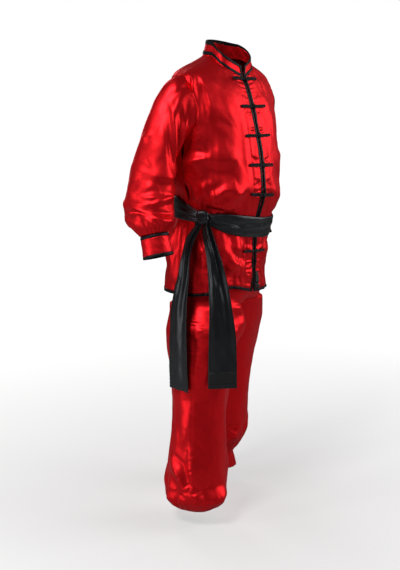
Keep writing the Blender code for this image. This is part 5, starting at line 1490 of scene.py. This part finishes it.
class UNIFORM_OT_sash_tails(bpy.types.Operator):
    """Two hanging tails of the sash with turned, stitched edges, and the plain patch on the front one"""

    bl_idname = "uniform.sash_tails"
    bl_label = "Sash tails"

    def execute(self, context):
        for name, table, seed, node in (("tail_of_sash_front", FRONT_TAIL, 221, "sash_tail_front"),
                                        ("tail_of_sash_back", BACK_TAIL, 231, "sash_tail_back")):
            grid, outward = tail_grid(table, seed)
            obj = cloth(name, grid, outward, "Black satin", "black_satin", [node], 0.0012)
            for label, column in (("left", 3), ("right", -4)):
                line = grid[8:-4, column] + outward[8:-4, column] * 0.0002
                stitches(f"stitch_{name}_{label}", line, outward[8:-4, column], "Black thread")
            line = grid[-6, 3:-3] + outward[-6, 3:-3] * 0.0002
            stitches(f"stitch_{name}_hem", line, outward[-6, 3:-3], "Black thread")
            if table is FRONT_TAIL:
                self.patch(grid, outward)
        return {"FINISHED"}

    def patch(self, grid, outward):
        """The plain woven patch: the tail's own surface between two rows, raised by its thickness."""
        low, high = -18, -5
        piece = grid[low:high, 1:-1] + outward[low:high, 1:-1] * 0.0012
        obj = cloth("patch_on_sash", piece, outward[low:high, 1:-1], "Woven label", "woven_label", ["sash_patch"], 0.0008)
        rim = np.concatenate((piece[1, 1:-1], piece[1:-1, -2], piece[-2, 1:-1][::-1], piece[1:-1, 1][::-1]))
        normal = outward[0, :1] + 0 * rim
        stitches("stitch_patch", rim + normal * 0.0002, normal, "Black thread")


class UNIFORM_OT_hem_label(bpy.types.Operator):
    """The small plain label beside the left front edge, above the hem"""

    bl_idname = "uniform.hem_label"
    bl_label = "Hem label"

    def execute(self, context):
        heights = np.linspace(HEM_HEIGHT + 0.002, HEM_HEIGHT + 0.062, 31)[:, None]
        offsets = np.linspace(0.0128, 0.0300, 13)[None, :]
        angle = edge_angle(heights + 0 * offsets, offsets + 0 * heights)
        grid = jacket_point(angle, heights + 0 * offsets, 0.0012 + 0 * angle)
        normal = torso_normal(angle, heights + 0 * offsets)
        obj = cloth("label_at_hem", grid, normal, "Woven label", "woven_label", ["hem_label"], 0.0008)
        rim = np.concatenate((grid[1, 1:-1], grid[1:-1, -2], grid[-2, 1:-1][::-1], grid[1:-1, 1][::-1]))
        side = np.concatenate((normal[1, 1:-1], normal[1:-1, -2], normal[-2, 1:-1], normal[1:-1, 1]))
        stitches("stitch_label", rim + side * 0.0002, side, "Black thread")
        return {"FINISHED"}


class UNIFORM_OT_stitching(bpy.types.Operator):
    """Rows of stitches beside the bindings, round the cuffs and collar, and down the facings"""

    bl_idname = "uniform.stitching"
    bl_label = "Stitching"

    def execute(self, context):
        for hand, side in (("right", -1), ("left", 1)):
            for label, offset, out in (("edge", EDGE_GAP + EDGE_TRIM + 0.0022, 0.0002), ("facing", 0.046, 0.0)):
                heights = np.linspace(HEM_HEIGHT + 0.004, NECK_PIT_HEIGHT - 0.004, 260)
                angle = side * edge_angle(heights, np.full(260, offset))
                line = jacket_point(angle, heights, out + 0 * heights)
                stitches(f"stitch_{label}_{hand}", line, torso_normal(angle, heights), "Red thread")
            turn = np.linspace(0, 2 * np.pi, 181)
            for label, drop in (("top", 0.0022 + CUFF_TRIM + 0.003), ("wrist", 0.0022 + CUFF_TRIM + CUFF_LENGTH - 0.003)):
                line = cuff_ring(side, drop, 0.0017, turn)
                stitches(f"stitch_cuff_{label}_{hand}", line, unit(line - line.mean(axis=0)), "Red thread")
        front_angle, _ = front_angles(168, 76, EDGE_GAP + EDGE_TRIM)
        back_angle, _ = back_angles(168, 116)
        for place, angle in (("right", -front_angle[0]), ("left", front_angle[0]), ("back", back_angle[0])):
            heights = np.full(len(angle), HEM_HEIGHT + 0.0035)
            line = jacket_point(angle, heights, 0.0001 + 0 * heights)
            stitches(f"stitch_hem_{place}", line, torso_normal(angle, heights), "Red thread")
        first = edge_angle(np.array(NECK_PIT_HEIGHT), EDGE_GAP + EDGE_TRIM + 0.002)
        sweep = first + (2 * np.pi - 2 * first) * np.linspace(0, 1, 200)
        line = collar_point(sweep, np.full(200, COLLAR_HEIGHT - COLLAR_TRIM - 0.0025), np.full(200, 0.0006))
        stitches("stitch_collar", line, unit((line - line.mean(axis=0)) * (1, 1, 0)), "Red thread")
        return {"FINISHED"}


class UNIFORM_OT_stage(bpy.types.Operator):
    """Pale floor, soft studio lights and the camera at the photograph's angle"""

    bl_idname = "uniform.stage"
    bl_label = "Stage"

    def execute(self, context):
        stage = context.scene.uniform_stage
        back = np.array((math.sin(stage.azimuth), -math.cos(stage.azimuth), 0.0))
        right = np.array((math.cos(stage.azimuth), math.sin(stage.azimuth), 0.0))
        self.camera(context, stage, back)
        self.floor()
        lights = (
            # name, degrees right of the camera, distance, height above the chest, watts, size
            ("Key", -30, 2.5, 1.95, stage.key, (0.9, 0.9)),
            ("Side strip", -62, 2.5, -0.25, stage.side, (0.45, 1.9)),
            ("Right softbox", 92, 2.5, 0.55, stage.fill, (1.9, 1.9)),
            ("Rim", -150, 2.2, 0.70, stage.rim, (0.6, 1.9)),
        )
        for name, swing, distance, height, power, size in lights:
            swing = math.radians(swing)
            spot = (back * math.cos(swing) + right * math.sin(swing)) * distance
            self.softbox(context, name, spot, height, power, size)
        self.room(context, stage.room)
        return {"FINISHED"}

    def camera(self, context, stage, back):
        """A camera level with the chest, tilted down and swung a little so that the picture is framed as the photo."""
        data = bpy.data.cameras.new("Camera")
        data.sensor_fit = "VERTICAL"
        data.sensor_height = 36.0
        data.sensor_width = 36.0
        data.sensor_fit = "AUTO"
        data.lens = stage.focal_pixels / 570 * 36.0
        data.shift_y = stage.shift
        data.clip_end = 50
        camera = bpy.data.objects.new("Camera", data)
        camera.location = (*(back * stage.distance)[:2], stage.height - NECK_HEIGHT)
        camera.rotation_euler = (math.pi / 2 - stage.tilt, 0, stage.azimuth + stage.swing)
        context.scene.collection.objects.link(camera)
        context.scene.camera = camera

    def floor(self):
        """A wide plain floor under the trouser hems."""
        bpy.ops.mesh.primitive_plane_add(size=120, location=(0, 0, -NECK_HEIGHT))
        floor = bpy.context.object
        floor.name = "Floor"
        floor.data.materials.append(material("Studio floor"))

    def softbox(self, context, name, place, height, power, size):
        """A rectangular softbox that faces the middle of the uniform."""
        data = bpy.data.lights.new(name, "AREA")
        data.shape = "RECTANGLE"
        data.size, data.size_y = size
        data.energy = power
        lamp = bpy.data.objects.new(name, data)
        lamp.location = (place[0], place[1], height - 0.25)
        target = np.array((0.0, 0.0, -0.5)) - np.array(lamp.location)
        yaw = math.atan2(target[1], target[0]) - math.pi / 2
        pitch = math.atan2(target[2], math.hypot(target[0], target[1]))
        lamp.rotation_euler = (math.pi / 2 + pitch, 0, yaw)
        context.scene.collection.objects.link(lamp)

    def room(self, context, brightness):
        """White where the camera sees it, and dimmer where it lights the cloth."""
        world = bpy.data.worlds.new("Room")
        world.use_nodes = True
        tree = world.node_tree
        seen = tree.nodes["Background"]
        seen.inputs["Color"].default_value = (1, 1, 1, 1)
        seen.inputs["Strength"].default_value = 1.0
        dim = tree.nodes.new("ShaderNodeBackground")
        dim.inputs["Color"].default_value = (1, 1, 1, 1)
        dim.inputs["Strength"].default_value = brightness
        path = tree.nodes.new("ShaderNodeLightPath")
        mix = tree.nodes.new("ShaderNodeMixShader")
        tree.links.new(path.outputs["Is Camera Ray"], mix.inputs["Fac"])
        tree.links.new(dim.outputs[0], mix.inputs[1])
        tree.links.new(seen.outputs[0], mix.inputs[2])
        tree.links.new(mix.outputs[0], tree.nodes["World Output"].inputs["Surface"])
        context.scene.world = world
        context.scene.view_settings.view_transform = "Standard"


def plain_red_satin(tree):
    """Red satin for a piece with no map of its own, on the object's coordinates."""
    looks = bpy.context.scene.uniform_looks
    shader = tree.nodes["Principled BSDF"]
    place = tree.nodes.new("ShaderNodeTexCoord")
    pattern = tree.nodes.new("ShaderNodeTexNoise")
    pattern.inputs["Scale"].default_value = 60.0
    link(tree, place, pattern.inputs["Vector"], 3)
    dark = tuple(c * 0.8 for c in looks.red)
    link(tree, blend_colours(tree, pattern, dark, tuple(looks.red)), shader.inputs["Base Color"], 2)
    shader.inputs["Roughness"].default_value = looks.roughness
    shader.inputs["Metallic"].default_value = 0.4


MATERIALS["Plain red satin"] = plain_red_satin

OPERATORS = (
    UNIFORM_OT_stage,
    UNIFORM_OT_fronts,
    UNIFORM_OT_back,
    UNIFORM_OT_sleeves,
    UNIFORM_OT_cuffs,
    UNIFORM_OT_collar,
    UNIFORM_OT_edges,
    UNIFORM_OT_hem,
    UNIFORM_OT_frogs,
    UNIFORM_OT_trousers,
    UNIFORM_OT_sash_band,
    UNIFORM_OT_sash_knot,
    UNIFORM_OT_sash_tails,
    UNIFORM_OT_hem_label,
    UNIFORM_OT_stitching,
)


class UNIFORM_PT_panel(bpy.types.Panel):
    """Lists the uniform's sizes, colours and pieces"""

    bl_label = "Tai chi uniform"
    bl_space_type = "VIEW_3D"
    bl_region_type = "UI"
    bl_category = "Uniform"

    def draw(self, context):
        for settings in (context.scene.uniform_looks, context.scene.uniform_stage):
            box = self.layout.box()
            for name in settings.__annotations__:
                box.prop(settings, name)
        for operator in OPERATORS:
            self.layout.operator(operator.bl_idname)


CLASSES = (UniformLooks, UniformStage, *OPERATORS, UNIFORM_PT_panel)


def register():
    """Adds the settings, operators and panel to Blender."""
    for cls in CLASSES:
        bpy.utils.register_class(cls)
    bpy.types.Scene.uniform_looks = bpy.props.PointerProperty(type=UniformLooks)
    bpy.types.Scene.uniform_stage = bpy.props.PointerProperty(type=UniformStage)


def unregister():
    """Takes them away again."""
    del bpy.types.Scene.uniform_stage
    del bpy.types.Scene.uniform_looks
    for cls in reversed(CLASSES):
        bpy.utils.unregister_class(cls)


def main():
    """Makes every piece in order."""
    register()
    for operator in OPERATORS:
        group, name = operator.bl_idname.split(".")
        getattr(getattr(bpy.ops, group), name)()


if __name__ == "__main__":
    main()
